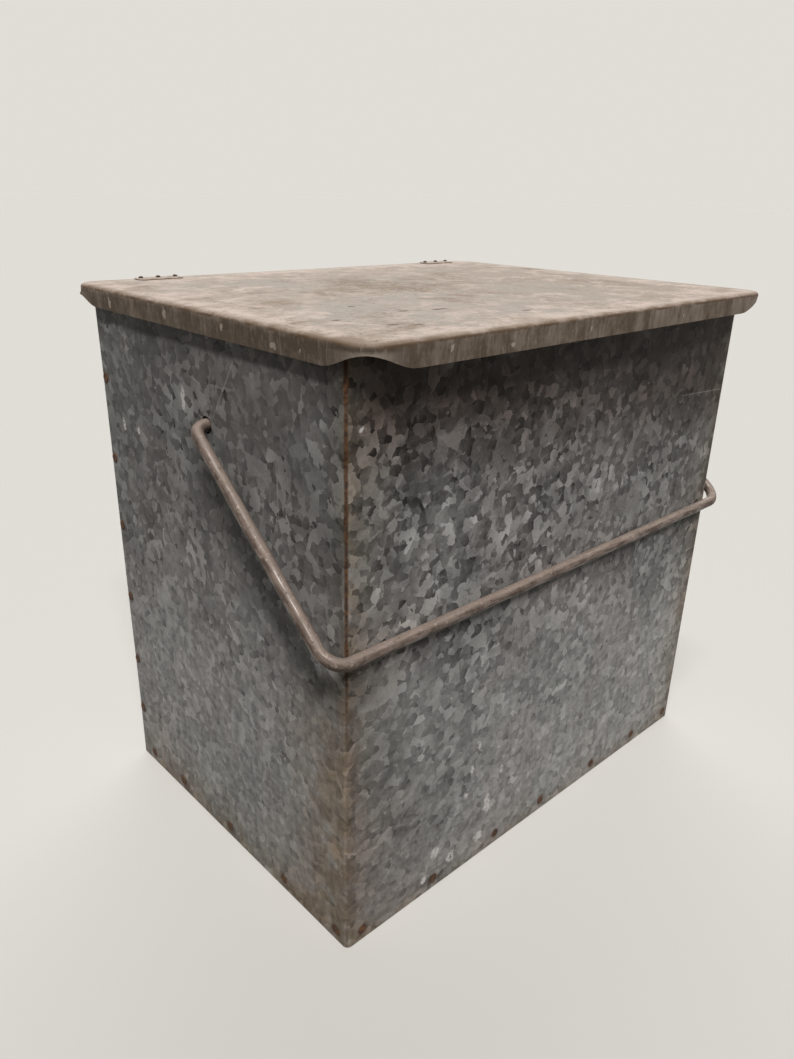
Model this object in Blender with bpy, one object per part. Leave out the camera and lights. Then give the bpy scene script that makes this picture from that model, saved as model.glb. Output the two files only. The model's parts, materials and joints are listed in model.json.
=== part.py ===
"""Insulated porch box of galvanised sheet steel, with a hinged lid and a wire bail.

The box stands at the origin: X runs along its front, +Y to its back and +Z up, in metres.
A folded shell, back panel and base pan hold a liner in a jacket of fibre boards. A drawn lid
pan turns on two riveted hinges behind the box, and a wire bail swings in two punched holes.
"""

import math

import bmesh
import bpy
from mathutils import Matrix, Vector

# Box
BOX_WIDTH = 0.313
BOX_DEPTH = 0.217
LID_TOP = 0.310
SHEET = 0.0008
CORNER_BEND = 0.003
BASE_BEND = 0.003
BASE_FLANGE = 0.014
BACK_FLANGE = 0.016
FIT = 0.0003

# Jacket and liner
BOARD = 0.0095
LINER_SHEET = 0.0006
LINER_CORNER = 0.006
LINER_BEND = 0.0008
LINER_FLOOR_BEND = 0.0015
LINER_FLOOR_FLANGE = 0.012

# Lid
LID_SIDE_OVERHANG = 0.003
LID_FRONT_OVERHANG = 0.015
LID_FLANGE = 0.011
LID_BEND = 0.003
LID_CORNER = 0.0135
LID_CORNER_LIP = 0.0015
LID_ARCH_REACH = 0.0135
PLUG_DEPTH = 0.0145
PLUG_CLEARANCE = 0.0025
PLUG_DRAFT = 0.002
PLUG_BEND = 0.0015
PLUG_CORNER = 0.0105
PLUG_FLANGE = 0.0105
LID_BOARD_CLEARANCE = 0.0025

# Hinges
HINGE_LEFT_MARGIN = 0.0455
HINGE_RIGHT_MARGIN = 0.0345
HINGE_WIDTH = 0.028
HINGE_LEAF = 0.0012
HINGE_LEAF_BEND = 0.001
HINGE_LEG = 0.0095
HINGE_LEG_CLEARANCE = 0.001
HINGE_DROP = 0.0135
HINGE_KNUCKLE = 0.012
HINGE_PIN_RADIUS = 0.0016
BODY_LEAF_HEIGHT = 0.028
STRAP_SHEET = 0.0006
STRAP_CORNER = 0.0025
RIVET_RADIUS = 0.001
RIVET_HEAD_RADIUS = 0.0018
RIVET_HEAD_HEIGHT = 0.0008
RIVET_DOME_SWEEP = math.radians(75)
RIVET_TAIL_RADIUS = 0.0018
RIVET_TAIL_HEIGHT = 0.0006
LID_RIVETS = 3
LID_RIVET_MARGIN = 0.003
BODY_RIVETS = 2
BODY_RIVET_MARGIN = 0.0075
BODY_RIVET_RISE = 0.0055

# Bail
BAIL_WIRE_RADIUS = 0.003175
BAIL_PIVOT_DROP = 0.055
BAIL_PIVOT_FORWARD = 0.003
BAIL_BAR_DROP = 0.0827
BAIL_SHOULDER = 0.007
BAIL_SPLAY = 0.0045
BAIL_SHOULDER_BEND = 0.0065
BAIL_BAR_BEND = 0.011
BAIL_HOLE_SLACK = 0.0012
BAIL_END_COVER = 0.0035

# Facets
BEND_STEPS = 4
CORNER_STEPS = 6
ARCH_STEPS = 5
BARREL_STEPS = 20
ROUND_SIDES = 20
WIRE_BEND_STEPS = 8
WIRE_RESOLUTION = 6
SMOOTH_ANGLE = math.radians(35)

# Heights and half sizes that follow from the driving dimensions
HALF_WIDTH = BOX_WIDTH / 2
HALF_DEPTH = BOX_DEPTH / 2
LID_UNDERSIDE = LID_TOP - SHEET
PLUG_FLANGE_TOP = LID_UNDERSIDE - FIT
LINER_TOP = PLUG_FLANGE_TOP - LINER_SHEET - FIT
WALL_TOP = LINER_TOP - LINER_SHEET - FIT
BASE_HALF_X = HALF_WIDTH - SHEET - FIT
BASE_HALF_Y = HALF_DEPTH - SHEET - FIT
BASE_CORNER = CORNER_BEND + BASE_BEND
BOARD_HALF_X = BASE_HALF_X - SHEET - FIT
BOARD_HALF_Y = BASE_HALF_Y - SHEET - FIT
BASE_BOARD_TOP = SHEET + FIT + BOARD
LINER_HALF_X = BOARD_HALF_X - BOARD - FIT
LINER_HALF_Y = BOARD_HALF_Y - BOARD - FIT
LINER_BOTTOM = BASE_BOARD_TOP + FIT
HINGE_CENTRES = {"left": HINGE_LEFT_MARGIN - HALF_WIDTH, "right": HALF_WIDTH - HINGE_RIGHT_MARGIN}
BARREL_RADIUS = HINGE_PIN_RADIUS + FIT + HINGE_LEAF
HINGE_Y = HALF_DEPTH + FIT + BARREL_RADIUS
HINGE_Z = LID_TOP - HINGE_DROP
LEAF_UPRIGHT_Y = HINGE_Y + BARREL_RADIUS - HINGE_LEAF
LEAF_TOP = LID_UNDERSIDE - FIT
LEAF_BOTTOM = LEAF_TOP - HINGE_LEAF
LEAF_ELBOW_Y = LEAF_UPRIGHT_Y + HINGE_LEAF + HINGE_LEAF_BEND
LEAF_END_Y = LEAF_ELBOW_Y - HINGE_LEAF_BEND + HINGE_LEG
LID_REAR_OVERHANG = LEAF_END_Y + HINGE_LEG_CLEARANCE + LID_BEND - HALF_DEPTH
BAIL_PIVOT_Y = -BAIL_PIVOT_FORWARD
BAIL_PIVOT_Z = LID_TOP - BAIL_PIVOT_DROP
BAIL_HOLE_RADIUS = BAIL_WIRE_RADIUS + BAIL_HOLE_SLACK
BAIL_END_X = BOARD_HALF_X - BOARD + BAIL_END_COVER

ZINC = ((0.36, 0.38, 0.39), 0.5, 0.85)
WEATHERED_ZINC = ((0.42, 0.37, 0.32), 0.65, 0.6)
BRIGHT_ZINC = ((0.56, 0.58, 0.59), 0.35, 0.9)
WIRE_STEEL = ((0.42, 0.36, 0.33), 0.45, 0.8)
HINGE_STEEL = ((0.16, 0.11, 0.08), 0.6, 0.7)
FIBRE_BOARD = ((0.38, 0.28, 0.18), 0.9, 0.0)


def clear_scene():
    """Remove every object that is already in the scene."""
    for item in list(bpy.data.objects):
        bpy.data.objects.remove(item, do_unlink=True)


def principled(name, finish):
    """Principled material of one piece, from its colour, roughness and metallic value."""
    colour, roughness, metallic = finish
    material = bpy.data.materials.new(name)
    material.use_nodes = True
    shader = material.node_tree.nodes["Principled BSDF"]
    shader.inputs["Base Color"].default_value = (*colour, 1.0)
    shader.inputs["Roughness"].default_value = roughness
    shader.inputs["Metallic"].default_value = metallic
    return material


def pivot(name, y, z):
    """Empty on a joint axis that runs along X."""
    empty = bpy.data.objects.new(name, None)
    empty.location = (0.0, y, z)
    bpy.context.scene.collection.objects.link(empty)
    bpy.context.view_layer.update()
    return empty


def hang_on(item, parent):
    """Parent a piece to a pivot and leave it where it is."""
    if parent is not None:
        item.parent = parent
        item.matrix_parent_inverse = parent.matrix_world.inverted()


def add_piece(name, shape, finish, parent=None):
    """Turn a bmesh into a named piece with its own material."""
    bmesh.ops.recalc_face_normals(shape, faces=shape.faces)
    mesh = bpy.data.meshes.new(name)
    shape.to_mesh(mesh)
    shape.free()
    mesh.shade_smooth()
    mesh.set_sharp_from_angle(angle=SMOOTH_ANGLE)
    mesh.materials.append(principled(name, finish))
    item = bpy.data.objects.new(name, mesh)
    bpy.context.scene.collection.objects.link(item)
    hang_on(item, parent)
    return item


def add_cutter(name, shape):
    """Turn a bmesh into a hidden cutting tool."""
    bmesh.ops.recalc_face_normals(shape, faces=shape.faces)
    mesh = bpy.data.meshes.new(name)
    shape.to_mesh(mesh)
    shape.free()
    cutter = bpy.data.objects.new(name, mesh)
    cutter.hide_render = True
    cutter.display_type = "WIRE"
    bpy.context.scene.collection.objects.link(cutter)
    return cutter


def cut(item, cutter):
    """Cut a tool's shape out of a piece."""
    modifier = item.modifiers.new(cutter.name, "BOOLEAN")
    modifier.operation = "DIFFERENCE"
    modifier.solver = "EXACT"
    modifier.object = cutter


def skin(shape, rings, closed=False):
    """Skin a solid over rings of equal count: capped at both ends, or closed on itself as a band."""
    loops = [[shape.verts.new(point) for point in ring] for ring in rings]
    followers = loops[1:] + loops[:1] if closed else loops[1:]
    for near, far in zip(loops, followers):
        for i in range(len(near)):
            j = (i + 1) % len(near)
            shape.faces.new((near[i], near[j], far[j], far[i]))
    if not closed:
        shape.faces.new(reversed(loops[0]))
        shape.faces.new(loops[-1])
    return shape


def prism_x(shape, outline, low, high):
    """Extrude a (y, z) outline along X."""
    return skin(shape, [[(x, y, z) for y, z in outline] for x in (low, high)])


def prism_z(shape, outline, low, high):
    """Extrude an (x, y) outline along Z."""
    return skin(shape, [[(x, y, z) for x, y in outline] for z in (low, high)])


def block(shape, low, high):
    """Add a square-edged block between two corners."""
    outline = [(low[0], low[1]), (high[0], low[1]), (high[0], high[1]), (low[0], high[1])]
    return prism_z(shape, outline, low[2], high[2])


def arc(centre, radius, start, end, steps):
    """Points along an arc, with its angles in degrees."""
    angles = [math.radians(start + (end - start) * k / steps) for k in range(steps + 1)]
    return [(centre[0] + radius * math.cos(a), centre[1] + radius * math.sin(a)) for a in angles]


def filleted(corners, radii, steps):
    """Path through corner points, with every inner corner rounded to its radius."""
    path = [Vector(corners[0])]
    for before, corner, after, radius in zip(corners, corners[1:], corners[2:], radii):
        corner = Vector(corner)
        back = (Vector(before) - corner).normalized()
        ahead = (Vector(after) - corner).normalized()
        half_opening = back.angle(ahead) / 2
        centre = corner + (back + ahead).normalized() * (radius / math.sin(half_opening))
        start = corner + back * (radius / math.tan(half_opening)) - centre
        sweep = math.pi - 2 * half_opening
        for k in range(steps + 1):
            turn = sweep * k / steps
            path.append(centre + start * math.cos(turn) - back * (radius * math.sin(turn)))
    path.append(Vector(corners[-1]))
    return path


def corner_ring(half_x, half_y, radius, z, centre_y=0.0, leads=()):
    """Rounded rectangle round the Z axis, counter-clockwise from its right-front corner.

    leads are distances, from each corner's arc along its two sides, that get a point of their own.
    z is one height, or a function of a point's distance from the end of its arc.
    """
    height = z if callable(z) else lambda distance: z
    points = []
    for quarter, (sign_x, sign_y) in enumerate(((1, -1), (1, 1), (-1, 1), (-1, -1))):
        centre = Vector((sign_x * (half_x - radius), centre_y + sign_y * (half_y - radius)))
        start = math.radians(90 * (quarter - 1))
        for k in range(-len(leads), CORNER_STEPS + len(leads) + 1):
            step = min(max(k, 0), CORNER_STEPS)
            angle = start + math.pi / 2 * step / CORNER_STEPS
            outward = Vector((math.cos(angle), math.sin(angle)))
            along = Vector((-math.sin(angle), math.cos(angle)))
            beyond = abs(k - step)
            run = leads[beyond - 1] if beyond else 0.0
            place = centre + outward * radius + along * math.copysign(run, k - step)
            inside_arc = radius * math.pi / 2 * min(step, CORNER_STEPS - step) / CORNER_STEPS
            points.append((place.x, place.y, height(run - inside_arc)))
    return points


def tray_profile(bend, sheet, flange):
    """(inset, rise) of a tray from its plate round the bend to the flange's edge and back inside."""
    quarter = [math.pi / 2 * k / BEND_STEPS for k in range(BEND_STEPS + 1)]
    outside = [(bend - bend * math.sin(a), bend - bend * math.cos(a)) for a in quarter]
    hollow = bend - sheet
    inside = [(bend - hollow * math.sin(a), bend - hollow * math.cos(a)) for a in reversed(quarter)]
    return outside + [(0.0, flange), (sheet, flange)] + inside


def make_shell(bail_holes):
    """Front and both sides, one sheet bent round the front corners, with a hole for each bail end."""
    def bent(inset, radius):
        x = HALF_WIDTH - inset
        y = HALF_DEPTH - inset
        left = arc((-x + radius, -y + radius), radius, 180, 270, BEND_STEPS)
        right = arc((x - radius, -y + radius), radius, 270, 360, BEND_STEPS)
        return [(-x, HALF_DEPTH), *left, *right, (x, HALF_DEPTH)]
    outline = bent(0.0, CORNER_BEND) + bent(SHEET, CORNER_BEND - SHEET)[::-1]
    shell = add_piece("shell_wrap", prism_z(bmesh.new(), outline, 0.0, WALL_TOP), ZINC)
    cut(shell, bail_holes)


def make_back_panel(rivet_holes):
    """Back sheet with two flanges that lie inside the sides, notched at the foot for the base pan."""
    front_edge = HALF_DEPTH - BACK_FLANGE

    def bent(inset, radius):
        x = BASE_HALF_X - inset
        y = HALF_DEPTH - inset
        right = arc((x - radius, y - radius), radius, 0, 90, BEND_STEPS)
        left = arc((-x + radius, y - radius), radius, 90, 180, BEND_STEPS)
        return [(x, front_edge), *right, *left, (-x, front_edge)]
    outline = bent(0.0, CORNER_BEND) + bent(SHEET, CORNER_BEND - SHEET)[::-1]
    panel = add_piece("back_panel", prism_z(bmesh.new(), outline, 0.0, WALL_TOP), ZINC)
    notch = bmesh.new()
    for side in (-1, 1):
        inner = side * (BASE_HALF_X - CORNER_BEND)
        outer = side * (HALF_WIDTH + FIT)
        low = (min(inner, outer), front_edge - FIT, -FIT)
        high = (max(inner, outer), HALF_DEPTH - SHEET - FIT / 2, BASE_FLANGE + FIT)
        block(notch, low, high)
    cut(panel, add_cutter("back_panel_notch", notch))
    cut(panel, rivet_holes)


def make_base_pan():
    """Base sheet with upturned flanges inside the walls."""
    rings = [
        corner_ring(BASE_HALF_X - inset, BASE_HALF_Y - inset, BASE_CORNER - inset, rise)
        for inset, rise in tray_profile(BASE_BEND, SHEET, BASE_FLANGE)
    ]
    add_piece("base_pan", skin(bmesh.new(), rings), ZINC)


def make_jacket(bail_holes):
    """Fibre boards between the shell and the liner; the side boards have pockets for the bail's ends."""
    base_x = BASE_HALF_X - BASE_BEND
    base_y = BASE_HALF_Y - BASE_BEND
    end_x = BASE_HALF_X - BASE_CORNER
    inner_x = BOARD_HALF_X - BOARD
    inner_y = BOARD_HALF_Y - BOARD
    side_y = inner_y - FIT
    foot = LINER_BOTTOM
    boards = {
        "insulation_base": ((-base_x, -base_y, SHEET + FIT), (base_x, base_y, BASE_BOARD_TOP)),
        "insulation_front": ((-end_x, -BOARD_HALF_Y, foot), (end_x, -inner_y, WALL_TOP)),
        "insulation_back": ((-end_x, inner_y, foot), (end_x, BOARD_HALF_Y, WALL_TOP)),
        "insulation_left": ((-BOARD_HALF_X, -side_y, foot), (-inner_x, side_y, WALL_TOP)),
        "insulation_right": ((inner_x, -side_y, foot), (BOARD_HALF_X, side_y, WALL_TOP)),
    }
    for name, (low, high) in boards.items():
        board = add_piece(name, block(bmesh.new(), low, high), FIBRE_BOARD)
        if name in ("insulation_left", "insulation_right"):
            cut(board, bail_holes)


def make_liner():
    """Liner walls with a rim over the wall tops, and a liner floor that stands inside them."""
    bend_z = LINER_TOP - LINER_SHEET - LINER_BEND
    outer_bend = LINER_BEND + LINER_SHEET
    quarter = [math.pi / 2 * k / BEND_STEPS for k in range(BEND_STEPS + 1)]
    mouth = [(LINER_BEND - outer_bend * math.sin(a), bend_z + outer_bend * math.cos(a)) for a in quarter]
    throat = [(LINER_BEND - LINER_BEND * math.sin(a), bend_z + LINER_BEND * math.cos(a)) for a in quarter]
    walls = [*mouth, (-LINER_SHEET, LINER_BOTTOM), (0.0, LINER_BOTTOM), *throat[::-1]]
    rings = [
        corner_ring(LINER_HALF_X + out, LINER_HALF_Y + out, LINER_CORNER + out, z) for out, z in walls
    ]
    rim_x = HALF_WIDTH - FIT
    rim_y = HALF_DEPTH - FIT
    for z in (LINER_TOP - LINER_SHEET, LINER_TOP):
        rings.append(corner_ring(rim_x, rim_y, CORNER_BEND, z))
    add_piece("liner_wall", skin(bmesh.new(), rings, closed=True), BRIGHT_ZINC)

    shrink = LINER_SHEET + FIT
    floor = [
        corner_ring(
            LINER_HALF_X - shrink - inset,
            LINER_HALF_Y - shrink - inset,
            LINER_CORNER - shrink - inset,
            LINER_BOTTOM + rise,
        )
        for inset, rise in tray_profile(LINER_FLOOR_BEND, LINER_SHEET, LINER_FLOOR_FLANGE)
    ]
    add_piece("liner_floor", skin(bmesh.new(), floor), BRIGHT_ZINC)


def make_lid_pan(lid_axis, rivet_holes):
    """Drawn lid tray whose turned-down flange arches up round each corner."""
    half_x = HALF_WIDTH + LID_SIDE_OVERHANG
    half_y = HALF_DEPTH + (LID_FRONT_OVERHANG + LID_REAR_OVERHANG) / 2
    centre_y = (LID_REAR_OVERHANG - LID_FRONT_OVERHANG) / 2
    leads = [LID_ARCH_REACH * (k + 1) / ARCH_STEPS for k in range(ARCH_STEPS)]
    half_arc = LID_CORNER * math.pi / 4

    def edge_height(distance):
        share = min((distance + half_arc) / (LID_ARCH_REACH + half_arc), 1.0)
        ease = share * share * (3 - 2 * share)
        depth = LID_BEND + LID_CORNER_LIP
        return LID_TOP - depth - (LID_FLANGE - depth) * ease

    rings = []
    for inset, rise in tray_profile(LID_BEND, SHEET, LID_FLANGE):
        height = edge_height if rise == LID_FLANGE else LID_TOP - rise
        rings.append(
            corner_ring(half_x - inset, half_y - inset, LID_CORNER - inset, height, centre_y, leads)
        )
    lid = add_piece("lid_pan", skin(bmesh.new(), rings), WEATHERED_ZINC, lid_axis)
    cut(lid, rivet_holes)


def make_lid_plug(lid_axis):
    """Inner lid pan that drops into the liner's mouth, and the fibre board that it holds."""
    top_x = LINER_HALF_X - LINER_SHEET - PLUG_CLEARANCE
    top_y = LINER_HALF_Y - LINER_SHEET - PLUG_CLEARANCE
    foot_z = LID_TOP - PLUG_DEPTH
    flange_z = PLUG_FLANGE_TOP - LINER_SHEET
    lean = Vector((PLUG_DRAFT, flange_z - foot_z)).normalized()
    shift = LINER_SHEET * (1 - lean.x) / lean.y
    outer_bend = PLUG_BEND + LINER_SHEET
    plate_z = foot_z + LINER_SHEET
    plate_edge = -PLUG_DRAFT - 2 * outer_bend

    def bent(foot, top, inset, bends):
        corners = [(plate_edge, foot), (-PLUG_DRAFT - inset, foot), (-inset, top), (PLUG_FLANGE, top)]
        return filleted(corners, bends, BEND_STEPS)
    below = bent(foot_z, flange_z, 0.0, (outer_bend, PLUG_BEND))
    above = bent(plate_z, PLUG_FLANGE_TOP, shift, (PLUG_BEND, outer_bend))
    rings = [
        corner_ring(top_x + out, top_y + out, PLUG_CORNER + out, z)
        for out, z in [*below, *above[::-1]]
    ]
    add_piece("lid_inner_pan", skin(bmesh.new(), rings), BRIGHT_ZINC, lid_axis)

    inset = PLUG_DRAFT + LID_BOARD_CLEARANCE
    board = [
        corner_ring(top_x - inset, top_y - inset, PLUG_CORNER - inset, z)
        for z in (plate_z + FIT, LID_UNDERSIDE - FIT)
    ]
    add_piece("lid_insulation", skin(bmesh.new(), board), FIBRE_BOARD, lid_axis)


def cylinder_x(shape, low, high, y, z, radius):
    """Add a cylinder along X."""
    outline = arc((y, z), radius, 0, 360, ROUND_SIDES)[:-1]
    return prism_x(shape, outline, low, high)


def hinge_knuckles(centre):
    """X ranges of a hinge: the middle knuckle, then the two knuckles beside it."""
    middle = (centre - HINGE_KNUCKLE / 2, centre + HINGE_KNUCKLE / 2)
    left = (centre - HINGE_WIDTH / 2, middle[0] - FIT)
    right = (middle[1] + FIT, centre + HINGE_WIDTH / 2)
    return middle, left, right


def barrel_room(shape, low, high):
    """Add the space that a neighbour's knuckle needs round the hinge axis."""
    reach = BARREL_RADIUS + FIT
    return block(
        shape,
        (low, HINGE_Y - reach, HINGE_Z - reach),
        (high, HINGE_Y + reach, HINGE_Z + reach),
    )


def make_hinge(side, centre, lid_axis, rivet_holes, body_rivet_holes):
    """One hinge: body leaf, lid leaf with an elbow, pin through their knuckles, and the top strap."""
    low = centre - HINGE_WIDTH / 2
    high = centre + HINGE_WIDTH / 2
    middle, left, right = hinge_knuckles(centre)
    axis = (HINGE_Y, HINGE_Z)
    inner_y = HINGE_Y - BARREL_RADIUS
    meeting = math.degrees(math.acos(1 - HINGE_LEAF / BARREL_RADIUS))

    foot_z = HINGE_Z - BODY_LEAF_HEIGHT
    body_curl = arc(axis, BARREL_RADIUS, 180, meeting - 180, BARREL_STEPS)
    body_outline = [(inner_y, foot_z), *body_curl, (inner_y + HINGE_LEAF, foot_z)]
    body_leaf = prism_x(bmesh.new(), body_outline, low, high)
    body_leaf = add_piece(f"hinge_body_leaf_{side}", body_leaf, HINGE_STEEL)

    elbow = (LEAF_ELBOW_Y, LEAF_BOTTOM - HINGE_LEAF_BEND)
    lid_curl = arc(axis, BARREL_RADIUS, 0, meeting - 360, BARREL_STEPS)
    lid_outline = [
        (LEAF_END_Y, LEAF_BOTTOM),
        *arc(elbow, HINGE_LEAF_BEND, 90, 180, BEND_STEPS),
        *lid_curl,
        *arc(elbow, HINGE_LEAF_BEND + HINGE_LEAF, 180, 90, BEND_STEPS),
        (LEAF_END_Y, LEAF_TOP),
    ]
    lid_leaf = prism_x(bmesh.new(), lid_outline, low, high)
    lid_leaf = add_piece(f"hinge_lid_leaf_{side}", lid_leaf, HINGE_STEEL, lid_axis)

    body_room = bmesh.new()
    barrel_room(body_room, low - FIT, left[1] + FIT)
    barrel_room(body_room, right[0] - FIT, high + FIT)
    cut(body_leaf, add_cutter(f"hinge_body_room_{side}", body_room))
    lid_room = barrel_room(bmesh.new(), middle[0] - FIT, middle[1] + FIT)
    cut(lid_leaf, add_cutter(f"hinge_lid_room_{side}", lid_room))

    bore = cylinder_x(bmesh.new(), low - FIT, high + FIT, *axis, HINGE_PIN_RADIUS + FIT)
    bore = add_cutter(f"hinge_bore_{side}", bore)
    cut(body_leaf, bore)
    cut(lid_leaf, bore)
    cut(body_leaf, body_rivet_holes)
    cut(lid_leaf, rivet_holes)

    pin = cylinder_x(bmesh.new(), low, high, *axis, HINGE_PIN_RADIUS)
    add_piece(f"hinge_pin_{side}", pin, HINGE_STEEL)

    strap_half_y = (LEAF_END_Y - LEAF_UPRIGHT_Y) / 2
    strap_centre_y = (LEAF_END_Y + LEAF_UPRIGHT_Y) / 2
    strap = skin(bmesh.new(), [
        [(x + centre, y, z) for x, y, z in ring]
        for ring in (
            corner_ring(HINGE_WIDTH / 2, strap_half_y, STRAP_CORNER, height, strap_centre_y)
            for height in (LID_TOP + FIT, LID_TOP + FIT + STRAP_SHEET)
        )
    ])
    strap = add_piece(f"hinge_strap_{side}", strap, HINGE_STEEL, lid_axis)
    cut(strap, rivet_holes)


def rivet(place, grip_low, grip_high):
    """Dome-head rivet that grips the stretch between two heights along its own axis."""
    tail = grip_low - FIT
    head = grip_high + FIT
    dome = [RIVET_DOME_SWEEP * k / BEND_STEPS for k in range(BEND_STEPS + 1)]
    profile = [
        (RIVET_TAIL_RADIUS, tail - RIVET_TAIL_HEIGHT),
        (RIVET_TAIL_RADIUS, tail),
        (RIVET_RADIUS, tail),
        (RIVET_RADIUS, head),
        *((RIVET_HEAD_RADIUS * math.cos(a), head + RIVET_HEAD_HEIGHT * math.sin(a)) for a in dome),
    ]
    rings = [
        [place @ Vector((x, y, height)) for x, y in arc((0, 0), radius, 0, 360, ROUND_SIDES)[:-1]]
        for radius, height in profile
    ]
    return skin(bmesh.new(), rings)


def rivet_columns(count, margin):
    """X places of a row of rivets on each hinge, spread evenly between its side margins."""
    span = HINGE_WIDTH - 2 * margin
    offsets = [span * (k / (count - 1) - 0.5) for k in range(count)]
    return [centre + offset for centre in HINGE_CENTRES.values() for offset in offsets]


def rivet_places():
    """Frames of the lid rivets, which stand along Z, and of the body rivets, which lie along Y."""
    leg_middle = (LEAF_ELBOW_Y + LEAF_END_Y) / 2
    foot = HINGE_Z - BODY_LEAF_HEIGHT + BODY_RIVET_RISE
    lay_back = Matrix.Rotation(math.radians(-90), 4, "X")
    lid_columns = rivet_columns(LID_RIVETS, LID_RIVET_MARGIN)
    body_columns = rivet_columns(BODY_RIVETS, BODY_RIVET_MARGIN)
    lid = [Matrix.Translation((x, leg_middle, 0.0)) for x in lid_columns]
    body = [Matrix.Translation((x, 0.0, foot)) @ lay_back for x in body_columns]
    return lid, body


def rivet_hole_cutter(name, places, low, high):
    """Hole cutters for a row of rivets, between two heights along their axes."""
    shape = bmesh.new()
    circle = arc((0, 0), RIVET_RADIUS + FIT, 0, 360, ROUND_SIDES)[:-1]
    for place in places:
        skin(shape, [[place @ Vector((x, y, h)) for x, y in circle] for h in (low, high)])
    return add_cutter(name, shape)


def make_rivets(lid_axis, lid_places, body_places):
    """Lid rivets through strap, lid and leaf, and body rivets through leaf and back panel."""
    for number, place in enumerate(lid_places, 1):
        shape = rivet(place, LEAF_BOTTOM, LID_TOP + FIT + STRAP_SHEET)
        add_piece(f"lid_rivet_{number}", shape, HINGE_STEEL, lid_axis)
    for number, place in enumerate(body_places, 1):
        shape = rivet(place, HALF_DEPTH - SHEET, HALF_DEPTH + FIT + HINGE_LEAF)
        add_piece(f"body_rivet_{number}", shape, HINGE_STEEL)


def make_bail_holes():
    """Cutter for the punched holes in the sides and the pockets behind them."""
    shape = bmesh.new()
    for sign in (-1, 1):
        ends = sorted((sign * (BAIL_END_X - BAIL_HOLE_SLACK), sign * (HALF_WIDTH + SHEET)))
        cylinder_x(shape, *ends, BAIL_PIVOT_Y, BAIL_PIVOT_Z, BAIL_HOLE_RADIUS)
    return add_cutter("bail_holes", shape)


def make_bail(bail_axis):
    """Bent wire: in-turned ends, splayed arms and a bar that lies along the front."""
    shoulder_x = HALF_WIDTH + BAIL_SHOULDER
    bar_x = shoulder_x + BAIL_SPLAY
    bar_y = -HALF_DEPTH - FIT - BAIL_WIRE_RADIUS
    bar_z = BAIL_PIVOT_Z - BAIL_BAR_DROP
    right = [
        (BAIL_END_X, BAIL_PIVOT_Y, BAIL_PIVOT_Z),
        (shoulder_x, BAIL_PIVOT_Y, BAIL_PIVOT_Z),
        (bar_x, bar_y, bar_z),
    ]
    corners = [(-x, y, z) for x, y, z in right] + right[::-1]
    radii = (BAIL_SHOULDER_BEND, BAIL_BAR_BEND, BAIL_BAR_BEND, BAIL_SHOULDER_BEND)
    path = filleted(corners, radii, WIRE_BEND_STEPS)
    curve = bpy.data.curves.new("bail", "CURVE")
    curve.dimensions = "3D"
    curve.bevel_depth = BAIL_WIRE_RADIUS
    curve.bevel_resolution = WIRE_RESOLUTION
    curve.use_fill_caps = True
    line = curve.splines.new("POLY")
    line.points.add(len(path) - 1)
    for point, place in zip(line.points, path):
        point.co = (*place, 1.0)
    curve.materials.append(principled("bail", WIRE_STEEL))
    bail = bpy.data.objects.new("bail", curve)
    bpy.context.scene.collection.objects.link(bail)
    hang_on(bail, bail_axis)


def main():
    """Build the whole box, its lid and its bail."""
    clear_scene()
    lid_axis = pivot("lid_axis", HINGE_Y, HINGE_Z)
    bail_axis = pivot("bail_axis", BAIL_PIVOT_Y, BAIL_PIVOT_Z)
    lid_places, body_places = rivet_places()
    bail_holes = make_bail_holes()
    rivet_holes = rivet_hole_cutter(
        "lid_rivet_holes", lid_places, LEAF_BOTTOM - HINGE_LEAF, LID_TOP + FIT + 2 * STRAP_SHEET
    )
    body_rivet_holes = rivet_hole_cutter(
        "body_rivet_holes", body_places, HALF_DEPTH - 2 * SHEET, HALF_DEPTH + FIT + 2 * HINGE_LEAF
    )
    make_shell(bail_holes)
    make_back_panel(body_rivet_holes)
    make_base_pan()
    make_jacket(bail_holes)
    make_liner()
    make_lid_pan(lid_axis, rivet_holes)
    make_lid_plug(lid_axis)
    for side, centre in HINGE_CENTRES.items():
        make_hinge(side, centre, lid_axis, rivet_holes, body_rivet_holes)
    make_rivets(lid_axis, lid_places, body_places)
    make_bail(bail_axis)


main()
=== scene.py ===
# %% [markdown]
# # A galvanised porch box
#
# The real thing is a box of zinc-coated sheet steel. Its front and sides are one sheet bent twice,
# a lid turns on two hinges behind, and a wire bail swings over it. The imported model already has
# every piece at its true place, but with few facets. Here each visible piece gets a finer surface
# in the same place, and a finish that shows its age: spangled zinc, dust, handling and rust.

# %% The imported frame
import json
import math

import bpy
import numpy as np
from mathutils import Matrix, Vector


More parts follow.
